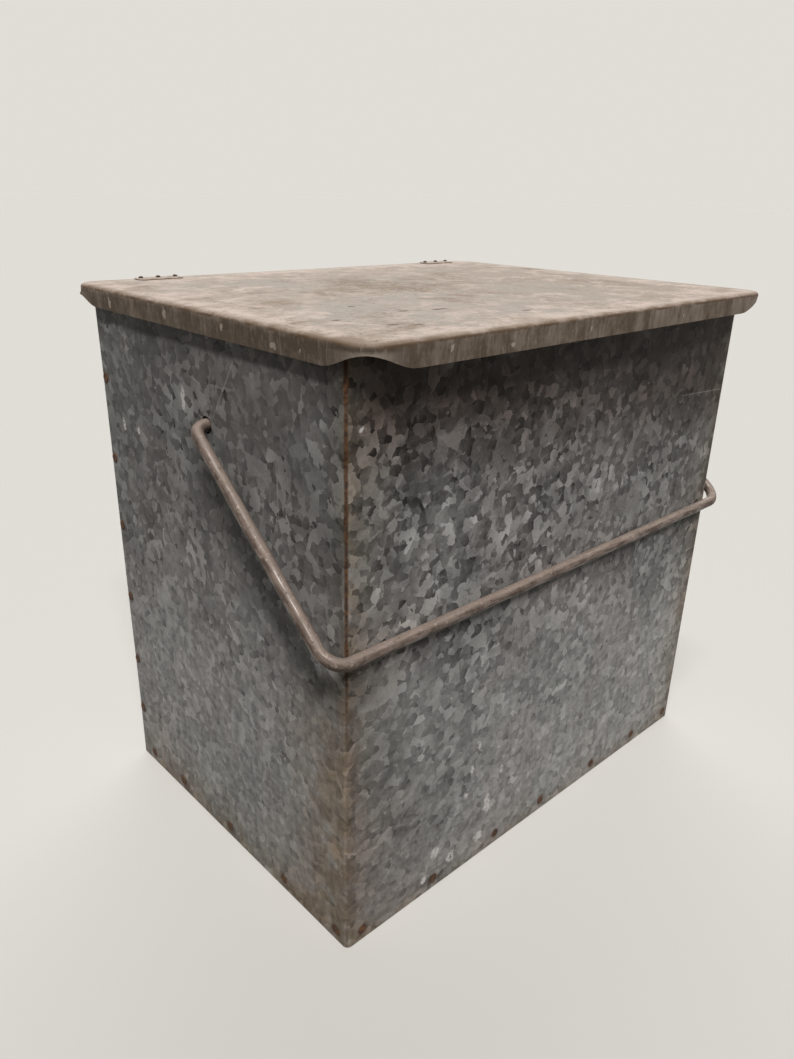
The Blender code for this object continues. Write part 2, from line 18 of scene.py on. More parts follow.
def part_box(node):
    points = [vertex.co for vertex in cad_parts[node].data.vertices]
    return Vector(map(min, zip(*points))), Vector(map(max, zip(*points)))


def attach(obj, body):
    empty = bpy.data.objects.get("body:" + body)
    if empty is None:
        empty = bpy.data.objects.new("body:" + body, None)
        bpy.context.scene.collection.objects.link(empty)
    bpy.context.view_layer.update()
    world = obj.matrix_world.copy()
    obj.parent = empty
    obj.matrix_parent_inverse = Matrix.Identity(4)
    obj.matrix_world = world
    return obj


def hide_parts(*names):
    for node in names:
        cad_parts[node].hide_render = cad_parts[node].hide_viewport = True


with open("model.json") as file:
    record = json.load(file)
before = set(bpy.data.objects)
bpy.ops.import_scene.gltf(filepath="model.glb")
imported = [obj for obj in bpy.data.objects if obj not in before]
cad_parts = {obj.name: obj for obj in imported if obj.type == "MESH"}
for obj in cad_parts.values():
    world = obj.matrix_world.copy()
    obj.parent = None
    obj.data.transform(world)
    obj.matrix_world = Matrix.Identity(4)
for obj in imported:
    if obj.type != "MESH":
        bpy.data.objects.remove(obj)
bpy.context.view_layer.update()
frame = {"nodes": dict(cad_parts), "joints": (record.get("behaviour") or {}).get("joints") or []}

# %% [markdown]
# ## The camera
#
# A photograph's camera can be found again from a few corners of a box whose proportions are known.
# Such a fit gives the place of the lens, where it looks and its focal length in pixels. Blender
# counts focal length in millimetres on a 36 mm sensor laid along the image's longer side, so the
# pixels are scaled by that.

# %% Camera
PHOTO_HEIGHT = 1059
FOCAL_PIXELS = 824.6
SENSOR = 36.0
NEAREST = 0.01
CAMERA_PLACE = (-0.3538, -0.3477, 0.3622)
CAMERA_HEADING = math.radians(43.36)
CAMERA_DIP = math.radians(22.44)
CAMERA_ROLL = math.radians(1.33)


def new_object(name, data):
    """An object that holds the data, linked into the scene."""
    made = bpy.data.objects.new(name, data)
    bpy.context.scene.collection.objects.link(made)
    return made


lens = bpy.data.cameras.new("photo_lens")
lens.sensor_width = SENSOR
lens.lens = FOCAL_PIXELS * SENSOR / PHOTO_HEIGHT
lens.clip_start = NEAREST
camera = new_object("photo_camera", lens)
camera_turn = (
    Matrix.Rotation(-CAMERA_HEADING, 4, "Z")
    @ Matrix.Rotation(math.pi / 2 - CAMERA_DIP, 4, "X")
    @ Matrix.Rotation(CAMERA_ROLL, 4, "Z")
)
camera.matrix_world = Matrix.Translation(CAMERA_PLACE) @ camera_turn
bpy.context.scene.camera = camera
print(f"camera: {lens.lens:.1f} mm lens")

# %% [markdown]
# ## Sizes from the frame
#
# Every new surface has to lie where the solid lies that it stands for. So the outer sizes are read
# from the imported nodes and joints, and only what a box can't tell, such as the radius of a bend or
# the thickness of a sheet, is written down here.

# %% Sizes
MM = 0.001
SHEET = 0.8 * MM
LINER_SHEET = 0.6 * MM
FIT = 0.3 * MM


def corners_of(node):
    """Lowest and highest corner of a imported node, as arrays."""
    low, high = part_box(node)
    return np.array(low), np.array(high)


_, (HALF_X, HALF_Y, WALL_TOP) = corners_of("shell_wrap")
lid_low, lid_high = corners_of("lid_pan")
LID_TOP = lid_high[2]
joint_place = {joint["name"]: np.array(joint["pos_m"]) for joint in frame["joints"]}
LID_AXIS = joint_place["lid_hinge"]
BAIL_AXIS = joint_place["bail_swing"]
print(f"box {2 * HALF_X / MM:.0f} x {2 * HALF_Y / MM:.0f} mm, lid top at {LID_TOP / MM:.0f} mm")

# %% [markdown]
# ## From arrays to meshes
#
# A sheet of metal is a surface with two parameters, so its points fit in a grid, and the four
# corners of every cell make a face. Thickness comes from a second copy of the points, pushed along
# the surface's normals, and a rim that joins the two copies along the open edges. Working on whole
# arrays keeps this fast, and the result is a closed body. A triangle is kept as a cell whose last
# corner is written twice, so that one kind of array serves for both. The last few functions are
# curves of distance, for wear and unevenness.


# %% Mesh helpers
SHARP_ANGLE = math.radians(38)
TURNED_ROUND = (1, 0, 3, 2)
SHORTEST = 1e-12
WAVE_COUNT = 6
finishes = {}


def grid_faces(rows, columns, wrapped=False, first_pole=False, last_pole=False):
    """Cells of a grid: a wrapped one joins its last column to its first, a pole row is a point."""
    across = columns if wrapped else columns - 1
    row, column = np.meshgrid(np.arange(rows - 1), np.arange(across), indexing="ij")
    following = (column + 1) % columns
    here = row * columns
    ahead = here + columns
    cells = [here + column, ahead + column, ahead + following, here + following]
    cells = np.stack(cells, axis=-1)
    if first_pole:
        pole = np.zeros(across, int)
        cells[0] = np.stack([cells[0, :, 1], cells[0, :, 2], pole, pole], axis=-1)
    if last_pole:
        pole = np.full(across, (rows - 1) * columns)
        cells[-1] = np.stack([cells[-1, :, 3], cells[-1, :, 0], pole, pole], axis=-1)
    return cells.reshape(-1, 4)


def capped_faces(grid):
    """Cells of a closed body: a grid wrapped round, with a point at either end."""
    return grid_faces(*grid.shape[:2], wrapped=True, first_pole=True, last_pole=True)


def joined(*coordinates):
    """Points from their coordinates, any of which may be one number for all of them."""
    return np.stack(np.broadcast_arrays(*coordinates), axis=-1)


def unit(vectors):
    """Vectors divided by their lengths."""
    return vectors / np.maximum(np.linalg.norm(vectors, axis=-1, keepdims=True), SHORTEST)


def walked_along(path):
    """Length walked from a path's first point to each of its points."""
    return np.append(0, np.cumsum(np.linalg.norm(np.diff(path, axis=0), axis=1)))


def point_normals(points, faces):
    """Each point's normal: the sum of the normals of the cells round it, made one long."""
    corner = points[faces]
    crossed = np.cross(corner[:, 2] - corner[:, 0], corner[:, 3] - corner[:, 1])
    total = np.zeros_like(points)
    for k in range(4):
        np.add.at(total, faces[:, k], crossed)
    return unit(total)


def open_edges(faces):
    """Directed edges that only one cell uses."""
    edges = np.concatenate([faces[:, (k, (k + 1) % 4)] for k in range(4)])
    edges = edges[edges[:, 0] != edges[:, 1]]
    undirected = np.sort(edges, axis=1)
    _, index, count = np.unique(undirected, axis=0, return_index=True, return_counts=True)
    return edges[index[count == 1]]


def thickened(points, faces, thickness):
    """Closed plate: the surface, its copy pushed back along the normals, and a rim between them."""
    behind = points - thickness * point_normals(points, faces)
    rim = open_edges(faces)
    shift = len(points)
    sides = np.stack([rim[:, 1], rim[:, 0], rim[:, 0] + shift, rim[:, 1] + shift], axis=1)
    turned = faces[:, TURNED_ROUND] + shift
    return np.concatenate([points, behind]), np.concatenate([faces, turned, sides])


def volume(points, faces):
    """Signed volume of a closed body: a sixth of the triple products of its triangles."""
    a, b, c, d = (points[faces[:, k]] for k in range(4))
    return (np.sum(a * np.cross(b, c)) + np.sum(a * np.cross(c, d))) / 6


def add_piece(name, grid, faces, body, slot, stands_for=(), marks=None, finish=None):
    """Put points and cells into a mesh with its faces outwards, and let it ride on its body.

    The marks are numbers at its points. The finish is the slot's own unless another is given.
    """
    points = grid.reshape(-1, 3)
    if volume(points, faces) < 0:
        faces = faces[:, TURNED_ROUND]
    triangle = faces[:, 2] == faces[:, 3]
    corners = np.concatenate([faces[~triangle].ravel(), faces[triangle][:, :3].ravel()])
    sizes = np.where(np.sort(triangle), 3, 4)
    used, corners = np.unique(corners, return_inverse=True)
    mesh = bpy.data.meshes.new(name)
    mesh.vertices.add(len(used))
    mesh.vertices.foreach_set("co", points[used].astype(np.float32).ravel())
    mesh.loops.add(len(corners))
    mesh.loops.foreach_set("vertex_index", corners.astype(np.int32).ravel())
    mesh.polygons.add(len(sizes))
    mesh.polygons.foreach_set("loop_start", (np.cumsum(sizes) - sizes).astype(np.int32))
    mesh.update(calc_edges=True)
    for label, values in (marks or {}).items():
        layer = mesh.attributes.new(label, "FLOAT", "POINT")
        layer.data.foreach_set("value", np.ravel(values)[used].astype(np.float32))
    mesh.shade_smooth()
    mesh.set_sharp_from_angle(angle=SHARP_ANGLE)
    mesh.materials.append(finish or finishes[slot])
    piece = new_object(name, mesh)
    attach(piece, body)
    if stands_for:
        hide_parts(*stands_for)
    print(f"{name}: {len(used)} points, {len(sizes)} faces")


def add_sheet(name, grid, faces, thickness, body, slot, node, marks=None):
    """Add a grid of points as a plate of one thickness, behind the surface that the grid gives."""
    points, faces = thickened(grid.reshape(-1, 3), faces, thickness)
    doubled = {label: np.tile(values.ravel(), 2) for label, values in (marks or {}).items()}
    add_piece(name, points, faces, body, slot, [node], doubled)


def fading(distance, reach):
    """1 at no distance, and less by a factor of e with every reach in millimetres."""
    return np.exp(-distance / (reach * MM))


def bell(value, reach, middle=0):
    """1 at the middle, and next to nothing two reaches away on both sides, in millimetres."""
    return np.exp(-((value / MM - middle) / reach) ** 2)


def below(value, level, blur):
    """S curve from 1 below a level to 0 above it, in millimetres; a blur below 0 turns it round."""
    return 1 / (1 + np.exp((value / MM - level) / blur))


def waves(u, v, length, seed):
    """Gentle unevenness from -1 to 1: the mean of sine waves in seeded directions and phases."""
    draw = np.random.default_rng(seed)
    total = np.zeros(np.broadcast(u, v).shape)
    for heading, phase, stretch in draw.uniform(0, 1, (WAVE_COUNT, 3)):
        angle = 2 * np.pi * heading
        along = u * np.cos(angle) + v * np.sin(angle)
        total += np.sin(2 * np.pi * (along / (length * (0.7 + 0.8 * stretch)) + phase))
    return total / WAVE_COUNT


# %% [markdown]
# ## Shader maths in Python
#
# A node tree is a formula, so it is easier to read as one. The class below wraps a socket: adding,
# multiplying or subtracting wires makes the Math nodes, and one method adds any other node. A few
# short functions then give the words that the finishes are written in.


# %% Shader helper
class Wire:
    """A socket in a node tree. Arithmetic on wires adds Math nodes to the tree."""

    def __init__(self, tree, socket=None):
        self.tree = tree
        self.socket = socket

    def node(self, kind, settings=None, sockets=None, outlet=0):
        """Add a node: its settings, then each socket's number, colour or wire; return an outlet."""
        added = self.tree.nodes.new("ShaderNode" + kind)
        for name, value in (settings or {}).items():
            setattr(added, name, value)
        for name, value in (sockets or {}).items():
            if isinstance(value, Wire):
                self.tree.links.new(value.socket, added.inputs[name])
            else:
                added.inputs[name].default_value = value
        return Wire(self.tree, added.outputs[outlet] if added.outputs else None)

    def outlet(self, name):
        """Another outlet of the node that this wire comes from."""
        return Wire(self.tree, self.socket.node.outputs[name])

    def math(self, operation, *values):
        """A Math node's result for numbers or wires."""
        return self.node("Math", {"operation": operation}, dict(enumerate(values)))

    def __add__(self, other):
        return self.math("ADD", self, other)

    def __mul__(self, other):
        return self.math("MULTIPLY", self, other)

    def __sub__(self, other):
        return self.math("SUBTRACT", self, other)

    def __rsub__(self, other):
        return self.math("SUBTRACT", other, self)

    __radd__ = __add__
    __rmul__ = __mul__


MIX_FIRST = 6
MIX_SECOND = 7
MIX_RESULT = 2
MIDDLE = (0.5, 0.5, 0.5)
SPOT_EDGE = (1.1, 0.6)


def rgb(red, green, blue):
    """A colour with full alpha."""
    return (red, green, blue, 1.0)


def vector(operation, first, *others, outlet=0):
    """A Vector Math node's result, for a wire and other wires or vectors."""
    sockets = dict(enumerate((first, *others)))
    return first.node("VectorMath", {"operation": operation}, sockets, outlet)


def noise(at, size, detail=2.0, roughness=0.5, outlet="Fac"):
    """Soft noise from 0 to 1 whose blotches are about size millimetres across."""
    rate = 1 / (size * MM)
    sockets = {"Vector": at, "Scale": rate, "Detail": detail, "Roughness": roughness}
    return at.node("TexNoise", {}, sockets, outlet)


def swing(at, size, detail=2.0, roughness=0.5):
    """Noise about zero: the soft noise less a half."""
    return noise(at, size, detail, roughness) - 0.5


def ease(value, low, high):
    """0 below low, 1 above high and a smooth step between; low may be the larger one."""
    sockets = {"Value": value, "From Min": low, "From Max": high}
    return value.node("MapRange", {"interpolation_type": "SMOOTHSTEP"}, sockets)


def blotches(at, size, low, high, detail=2.0, roughness=0.5):
    """Soft noise, eased from 0 below low to 1 above high."""
    return ease(noise(at, size, detail, roughness), low, high)


def pushed(at, size, amount):
    """Places pushed by noise, by up to half the amount, so that a pattern on them turns ragged."""
    push = vector("SUBTRACT", noise(at, size, outlet="Color"), MIDDLE)
    return vector("MULTIPLY_ADD", push, (amount * MM,) * 3, at)


def stretched(at, x, y, z):
    """Places with each axis scaled, so that a pattern on them is drawn out."""
    return vector("MULTIPLY", at, (x, y, z))


def crystals(at, size):
    """Two random numbers per crystal, for crystals about size millimetres across, and its slope.

    The slope is the distance from the crystal's middle along a direction of its own, over its size.
    """
    rate = 1 / (size * MM)
    colour = at.node("TexVoronoi", {}, {"Vector": at, "Scale": rate}, "Color")
    across = vector("SUBTRACT", at, colour.outlet("Position"))
    way = vector("SUBTRACT", colour, MIDDLE)
    slope = vector("DOT_PRODUCT", across, way, outlet="Value") * rate
    first, second = (at.node("SeparateColor", {}, {"Color": colour}, k) for k in range(2))
    return first, second, slope


def between(share, first, second):
    """The number that lies that share of the way from the first to the second."""
    return first + share * (second - first)


def mix(share, first, second):
    """Colours mixed by a share from 0 to 1."""
    sockets = {0: share, MIX_FIRST: first, MIX_SECOND: second}
    return share.node("Mix", {"data_type": "RGBA"}, sockets, MIX_RESULT)


def layered(colour, *layers):
    """A colour with coats over it, each given as its share and its colour."""
    for share, coat in layers:
        colour = mix(share, colour, coat)
    return colour


def tinted(colour, tint):
    """A colour with each of its channels multiplied."""
    return vector("MULTIPLY", colour, tint)


def ramp(value, *stops):
    """Colours at places from 0 to 1, and a straight blend between them."""
    made = value.node("ValToRGB", {}, {"Fac": value})
    elements = made.socket.node.color_ramp.elements
    while len(elements) < len(stops):
        elements.new(1.0)
    for element, (place, colour) in zip(elements, stops):
        element.position, element.color = place, colour
    return made


def coordinate(at, axis):
    """One coordinate of the place: 0 for x, 1 for y, 2 for z."""
    return at.node("SeparateXYZ", {}, {"Vector": at}, axis)


def mark(at, label):
    """A number that the mesh carries at its points, such as dirt; 0 on a mesh without it."""
    return at.node("Attribute", {"attribute_name": label}, {}, "Fac")


def spot(at, place, reach):
    """1 near a place and 0 beyond the reach, which is a distance in metres along each axis."""
    away = vector("DIVIDE", vector("SUBTRACT", at, place), reach)
    return ease(vector("LENGTH", away, outlet="Value"), *SPOT_EDGE)


def spots(at, rows):
    """The sum of spots; a row holds a place, the reach across and the reach up, in millimetres."""
    rows = rows * MM
    return sum(spot(at, (x, y, z), (across, across, tall)) for x, y, z, across, tall in rows)


def bumped(height, depth):
    """A normal that follows a height, which runs from 0 to 1 over the depth in millimetres."""
    sockets = {"Height": height, "Distance": depth * MM, "Strength": 1.0}
    return height.node("Bump", {}, sockets, "Normal")


def new_finish(name):
    """A material with its Principled shader and a wire that holds its object coordinates."""
    material = bpy.data.materials.new(name)
    material.use_nodes = True
    at = Wire(material.node_tree).node("TexCoord", {}, {}, "Object")
    return material, material.node_tree.nodes["Principled BSDF"], at


def feed(shader, **sockets):
    """Set or link the sockets of a shader; an underscore stands for a space."""
    for name, value in sockets.items():
        socket = shader.inputs[name.replace("_", " ")]
        if isinstance(value, Wire):
            value.tree.links.new(value.socket, socket)
        else:
            socket.default_value = value


# %% [markdown]
# ## Spangled zinc
#
# Hot zinc freezes into flat crystals, each of which mirrors the room at its own slope, so a wall
# looks like torn leaves in several greys. Voronoi cells on pushed coordinates give crystals with
# ragged edges. Large pale leaves lie lowest, larger still in some patches. Small dark scales cover
# two thirds of them, which leaves the pale ones with hollow sides and sharp tips. Each crystal is
# shaded along its own slope and has faint strokes across it. Low down a mottled haze of oxide makes
# all of them paler and quieter; part of that paling is painted light, standing in for light from
# the pale floor. Where the mesh is marked as calm they differ less.


# %% Crystals
ZINC_STOPS = (
    (0.0, rgb(0.045, 0.043, 0.041)), (0.3, rgb(0.170, 0.169, 0.164)),
    (0.5, rgb(0.310, 0.309, 0.300)), (0.75, rgb(0.530, 0.528, 0.514)),
    (1.0, rgb(0.76, 0.76, 0.745)),
)
ZINC_MIDDLE = 0.42
LEAF_SIZE, BROAD_SIZE, SCALE_SIZE, SPLINTER_SIZE = 11, 20, 5, 2.8
LEAF_TONE, LEAF_SPREAD = 0.46, 0.34
SCALE_TONE, SCALE_SPREAD = 0.21, 0.28
SPLINTER_TONE, SPLINTER_SPREAD = 0.25, 0.55
SLOPE_SHADE = 0.5
STROKE_RATE, STROKE_SHADE = 30, 0.03
GRAIN_SHADE = 0.26
CLOUD_SHADE = 0.40
# Heights over which the oxide and the painted lightening of the foot fade out.
HAZE_AND_LIGHT_FROM, HAZE_AND_LIGHT_TO = 0.20, 0.06
HAZE_AND_FLOOR_LIGHT_LIFT, HAZE_CALM = 0.212, 0.48
STREAK_SHADE, MOTTLE_SHADE = 0.25, 0.55
CALM_QUIETS, CALM_DIMS_HIGH, CALM_DIMS = 0.30, 0.07, 0.02
# How much the mark of painted shade, with some soot, darkens the crystals.
SOOT_AND_SHADE_DIMS = 0.14


def leaves_and_scales(at, upper):
    """Lightness of the crystals before age touches it, and a random gloss for each leaf."""
    ragged = pushed(pushed(at, 6, 4), 2, 1.6)
    leaf, gloss, leaf_slope = crystals(ragged, LEAF_SIZE)
    broad, _, broad_slope = crystals(ragged, BROAD_SIZE)
    is_broad = blotches(at, 48, 0.52, 0.60, 3)
    leaf = between(is_broad, leaf, broad)
    leaf_slope = between(is_broad, leaf_slope, broad_slope)
    scale, pick, slope = crystals(ragged, SCALE_SIZE)
    splinter, chance, _ = crystals(ragged, SPLINTER_SIZE)
    tone = LEAF_TONE + leaf * LEAF_SPREAD + leaf_slope * SLOPE_SHADE
    is_covered = ease(pick - upper * 0.06 - is_broad * 0.14, 0.28, 0.31)
    tone = between(is_covered, tone, SCALE_TONE + scale * SCALE_SPREAD + slope * SLOPE_SHADE)
    tone = between(ease(chance, 0.95, 0.97), tone, SPLINTER_TONE + splinter * SPLINTER_SPREAD)
    strokes = (leaf_slope + slope) * STROKE_RATE
    tone = tone + strokes.math("SINE", strokes) * STROKE_SHADE
    return tone + swing(at, 1.6, 4, 0.7) * GRAIN_SHADE, gloss


def crystal_tone(at, age):
    """Lightness of the zinc from 0 to 1, the share of oxide and painted floor light, each leaf's
    gloss.
    """
    calm = mark(at, "calm")
    height = coordinate(at, 2) - calm * 0.022 + swing(at, 60, 3) * 0.12
    upper = ease(height, HAZE_AND_LIGHT_TO, HAZE_AND_LIGHT_FROM)
    tone, gloss = leaves_and_scales(at, upper)
    clear = 0.38 + noise(at, 50, 3, 0.6) * 1.1 - calm * upper * CALM_QUIETS
    tone = ZINC_MIDDLE + (tone - ZINC_MIDDLE) * clear + swing(at, 38, 4, 0.6) * CLOUD_SHADE
    haze_and_floor_light = (1 - upper) * age
    streaks = swing(stretched(at, 1, 1, 0.2), 5, 4, 0.65) * STREAK_SHADE
    mottle = swing(pushed(at, 3, 3), 4.5, 4, 0.6) * MOTTLE_SHADE
    # Low down the tone is lifted: oxide, and a painted lightening that stands in for light from the
    # floor.
    tone = tone + haze_and_floor_light * (HAZE_AND_FLOOR_LIGHT_LIFT + streaks + mottle - (tone - ZINC_MIDDLE) * HAZE_CALM)
    tone = tone - calm * calm * (upper * CALM_DIMS_HIGH + CALM_DIMS)
    # The last mark darkens the zinc where shade is painted below the lid and the bail, with some
    # soot.
    return tone - mark(at, "soot") * SOOT_AND_SHADE_DIMS, haze_and_floor_light, gloss


print("crystals:", ", ".join(f"{size} mm" for size in (BROAD_SIZE, LEAF_SIZE, SCALE_SIZE)))

# %% [markdown]
# Brown dirt, soot mixed with painted shade, pale scuffs and rust come last, where the mesh's own
# marks say, each broken up by noise. The largest scuffs, smudges and scratches have places of their
# own. A scratch is a narrow band round the line between two places: the distance to the nearest
# point of the line says where.


# %% Zinc finishes
ZINC_WARM, ZINC_COOL = (1.05, 0.985, 0.965), (1.0, 0.997, 0.983)
DIRT_TINT = (0.74, 0.62, 0.485)
# Tint of painted shade below the lid and the bail, mixed with some soot.
SOOT_AND_SHADE_TINT = (0.47, 0.39, 0.36)
SMUDGE_TINT = (0.40, 0.38, 0.38)
ZINC_SCUFF = rgb(0.93, 0.87, 0.83)
RUST_DARK = rgb(0.060, 0.029, 0.017)
RUST_LIGHT = rgb(0.175, 0.083, 0.036)
FRONT, LEFT = -108.5, -156.5
SCUFF_SPOTS = np.array([
    [-93, FRONT, 24, 4.0, 4.5], [-81, FRONT, 13, 3.5, 4.0], [-57, FRONT, 14, 4.0, 4.0],
    [-51, FRONT, 34, 3.0, 8.0], [-148, FRONT, 274, 2.0, 1.2], [-102, FRONT, 10, 2.5, 3.0],
    [-70, FRONT, 50, 2.0, 3.0], [-40, FRONT, 53, 1.8, 3.5], [-61, FRONT, 80, 1.8, 3.0],
    [-66, FRONT, 66, 1.6, 3.0], [LEFT, 18, 264, 2.2, 7.5], [LEFT, 88, 236, 2.0, 4.0],
    [LEFT, 71, 236, 2.0, 3.0],
])
SMUDGE_SPOTS = np.array([
    [-118, FRONT, 60, 13, 9], [-89, FRONT, 47, 9, 7], [-96, FRONT, 6, 12, 4],
    [-112, FRONT, 236, 30, 2.5],
])
SCRATCHES = np.array([
    [[104, FRONT, 251.3], [152, FRONT, 249]], [[LEFT, -29.5, 289], [LEFT, -9.5, 260]],
    [[LEFT, -60.5, 250], [LEFT, -61, 226]],
])
SCRATCH_WIDTH = 0.35 * MM


def rust_colour(at, dark=RUST_DARK, light=RUST_LIGHT):
    """Rust that goes from dark brown to orange in small patches."""
    return mix(blotches(at, 2.2, 0.40, 0.68, 3), dark, light)


def scratch(at, start, end):
    """1 on the line between two places and 0 beyond a scratch's width from it."""
    run = end - start
    away = vector("SUBTRACT", at, start)
    along = vector("DOT_PRODUCT", away, run, outlet="Value")
    share = along.node("Clamp", {}, {"Value": along * (1 / float(run @ run))})
    reached = at.node("VectorMath", {"operation": "SCALE"}, {0: run, "Scale": share})
    apart = vector("DISTANCE", away, reached, outlet="Value")
    return ease(apart, SCRATCH_WIDTH * 1.4, SCRATCH_WIDTH * 0.5)


def spangled(name, age):
    """Zinc coat with crystals; age runs from 0, clean, to 1, a wall after decades outdoors."""
    material, shader, at = new_finish(name)
    tone, haze_and_floor_light, gloss = crystal_tone(at, age)
    colour = ramp(tone, *ZINC_STOPS)
    hue = blotches(at, 65, 0.36, 0.64, 4, 0.6)
    colour = mix(hue, tinted(colour, ZINC_WARM), tinted(colour, ZINC_COOL))
    dirt = mark(at, "dirt") * blotches(at, 11, 0.18, 0.58, 5, 0.6)
    colour = mix(dirt, colour, tinted(colour, DIRT_TINT))
    # Painted shade below the lid and the bail, with some soot, tints the zinc.
    soot = mark(at, "soot") * blotches(at, 16, 0.10, 0.50, 4)
    colour = mix(soot, colour, tinted(colour, SOOT_AND_SHADE_TINT))
    torn = pushed(at, 3, 4.5)
    smudge = spots(torn, SMUDGE_SPOTS) * blotches(at, 5, 0.34, 0.54, 4, 0.65)
    colour = mix(smudge * 0.75, colour, tinted(colour, SMUDGE_TINT))
    rubbed = ease(mark(at, "scuff") + swing(at, 4, 4, 0.65) * 1.1, 0.38, 0.70)
    chipped = spots(torn, SCUFF_SPOTS) * blotches(at, 2.4, 0.31, 0.52, 4, 0.65)
    scuff = rubbed.math("MAXIMUM", rubbed, chipped)
    scored = sum(scratch(at, start, end) for start, end in SCRATCHES * MM)
    colour = mix(scuff * 0.88 + scored * 0.22, colour, ZINC_SCUFF)
    rust = ease(mark(at, "rust") + swing(at, 9, 4) * 0.5, 0.20, 0.62)
    colour = mix(rust * 0.9, colour, rust_colour(at))
    rough = 0.48 + gloss * 0.1 + haze_and_floor_light * 0.1 + rust * 0.25
    grain = noise(at, 1.2, 3, 0.6)
    feed(
        shader, Base_Color=colour, Metallic=0.06 - rust * 0.06, Roughness=rough,
        Specular_IOR_Level=0.08, Normal=bumped(grain, 0.03),
    )
    return material


for slot, age in (("galvanised_wall", 1.0), ("galvanised_liner", 0.3)):
    finishes[slot] = spangled(slot, age)
print("zinc finishes:", ", ".join(finishes))

# %% [markdown]
# ## The weathered lid
#
# The lid has lost its spangle. Rain and dust left a taupe bloom on its top, pale and pinkish
# towards the edges, brown where water stood and dark in the pits. Its flange is greyer, with faint
# run marks down it, a few pale chips, and a broken line of rust along the bend. Height separates
# the two, and noise of several sizes makes the stains. The flange's left side is painted darker, as
# painted shade, and so is the knocked-out lip at the rear left.


# %% Weathered lid
LID_TAUPE = rgb(0.440, 0.360, 0.298)
LID_PALE = rgb(0.635, 0.517, 0.443)
LID_GREY = rgb(0.385, 0.337, 0.287)
LID_BROWN = rgb(0.365, 0.298, 0.240)
LID_STAIN = rgb(0.21, 0.147, 0.095)
LID_PIT = rgb(0.085, 0.045, 0.030)
LID_SIDE = rgb(0.315, 0.250, 0.195)
LID_SIDE_DARK = rgb(0.135, 0.099, 0.070)
LID_CHIP = rgb(0.68, 0.56, 0.47)
# Dark brown of rust along the bend, also used as painted shade on the knocked-out lip.
LID_RUST_AND_LIP_SHADE = rgb(0.12, 0.075, 0.045)
LID_FRONT, LID_LEFT = -123.5, -159.5
CHIPS = np.array([
    [LID_LEFT, 83.5, 303.6, 1.9, 3.8], [LID_LEFT, 24.5, 304.4, 2.0, 3.6],
    [LID_LEFT, -26.8, 305.0, 1.7, 3.0], [LID_LEFT, -65.5, 302.2, 3.0, 1.8],
    [LID_LEFT, -84.0, 302.4, 1.0, 1.6], [-114.0, LID_FRONT, 304.6, 1.0, 2.2],
    [-77.0, LID_FRONT, 302.4, 1.6, 1.6], [-20.0, LID_FRONT, 303.5, 1.0, 1.8],
    [64.0, LID_FRONT, 302.8, 1.3, 1.8],
])
SPECKS = np.array([
    [-117, -92, 4.5, 2.0], [-108, -98, 3.5, 1.6], [-68, -71, 5.5, 2.2], [-87, -66, 3.5, 2.0],
    [-130, -70, 3.0, 1.8], [-35, -96, 3.5, 1.5], [-96, -40, 3.0, 2.0],
])


def under_top(value, start, end):
    """0 at one depth below the lid's top and 1 at another, both in millimetres."""
    return ease(value, LID_TOP - start * MM, LID_TOP - end * MM)


def lid_top_colour(at, rim, worn, grime):
    """The top: a taupe ground with pale bloom, brown stains, speckle, pits and a dirty edge."""
    drift = coordinate(at, 0) + swing(at, 80, 3) * 0.16
    bloom = noise(pushed(at, 30, 30), 18, 5, 0.64)
    stain = noise(pushed(at, 18, 20), 30, 6, 0.68)
    mottle = noise(pushed(at, 9, 9), 8, 5, 0.7)
    speckle = noise(at, 3.2, 4, 0.65)
    rough_part = 0.40 + grime * 0.4 + worn * 0.3
    torn = pushed(at, 3, 3)
    specks = sum(
        spot(torn, (x, y, LID_TOP), (across, deep, LID_TOP)) for x, y, across, deep in SPECKS * MM
    )
    pits = ease(noise(at, 2.8, 3, 0.6) + worn * 0.05 + grime * 0.06, 0.66, 0.72)
    dirty = ease(noise(at, 14, 5, 0.7) + grime * 0.2, 0.36, 0.66)
    colour = layered(
        mix(blotches(at, 55, 0.40, 0.62, 5, 0.62), LID_TAUPE, LID_GREY),
        (ease(drift, -0.05, 0.13) * 0.9, LID_BROWN),
        (ease(bloom + rim * 0.30, 0.50, 0.72) * 0.9, LID_PALE),
        (ease(stain + worn * 0.20 + grime * 0.11, 0.50, 0.74) * 0.85, LID_STAIN),
        (ease(mottle, 0.48, 0.66) * 0.75, LID_BROWN),
        (ease(speckle, 0.54, 0.70) * rough_part, LID_PALE),
        (ease(speckle, 0.44, 0.31) * rough_part, LID_STAIN),
        ((pits + specks) * 0.7, LID_PIT),
        (ease(rim, 0.70, 0.97) * (0.30 + dirty * 0.6), LID_STAIN),
    )
    return colour, pits


def lid_side_colour(at, height, lip, grime):
    """The flange: grey and brown patches, painted shade on the left, fine runs, a paler corner lip,
    and chips to bare zinc.
    """
    patches = noise(stretched(at, 1, 1, 0.7), 11, 5, 0.68)
    runs = noise(stretched(at, 1, 1, 0.16), 1.8, 4, 0.7)
    chips = spots(pushed(at, 2.2, 4), CHIPS) * 0.8 + swing(at, 1.3, 3, 0.6) * 1.4
    return layered(
        mix(ease(patches - grime * 0.12, 0.34, 0.62), LID_SIDE_DARK, LID_SIDE),
        (ease(runs, 0.50, 0.68) * 0.7, LID_SIDE_DARK),
        (ease(runs, 0.46, 0.32) * 0.25, LID_CHIP),
        (lip * under_top(height, 2.5, 4.5) * 0.45, LID_CHIP),
        (ease(chips, 0.42, 0.85) * 0.8, LID_CHIP),
    )


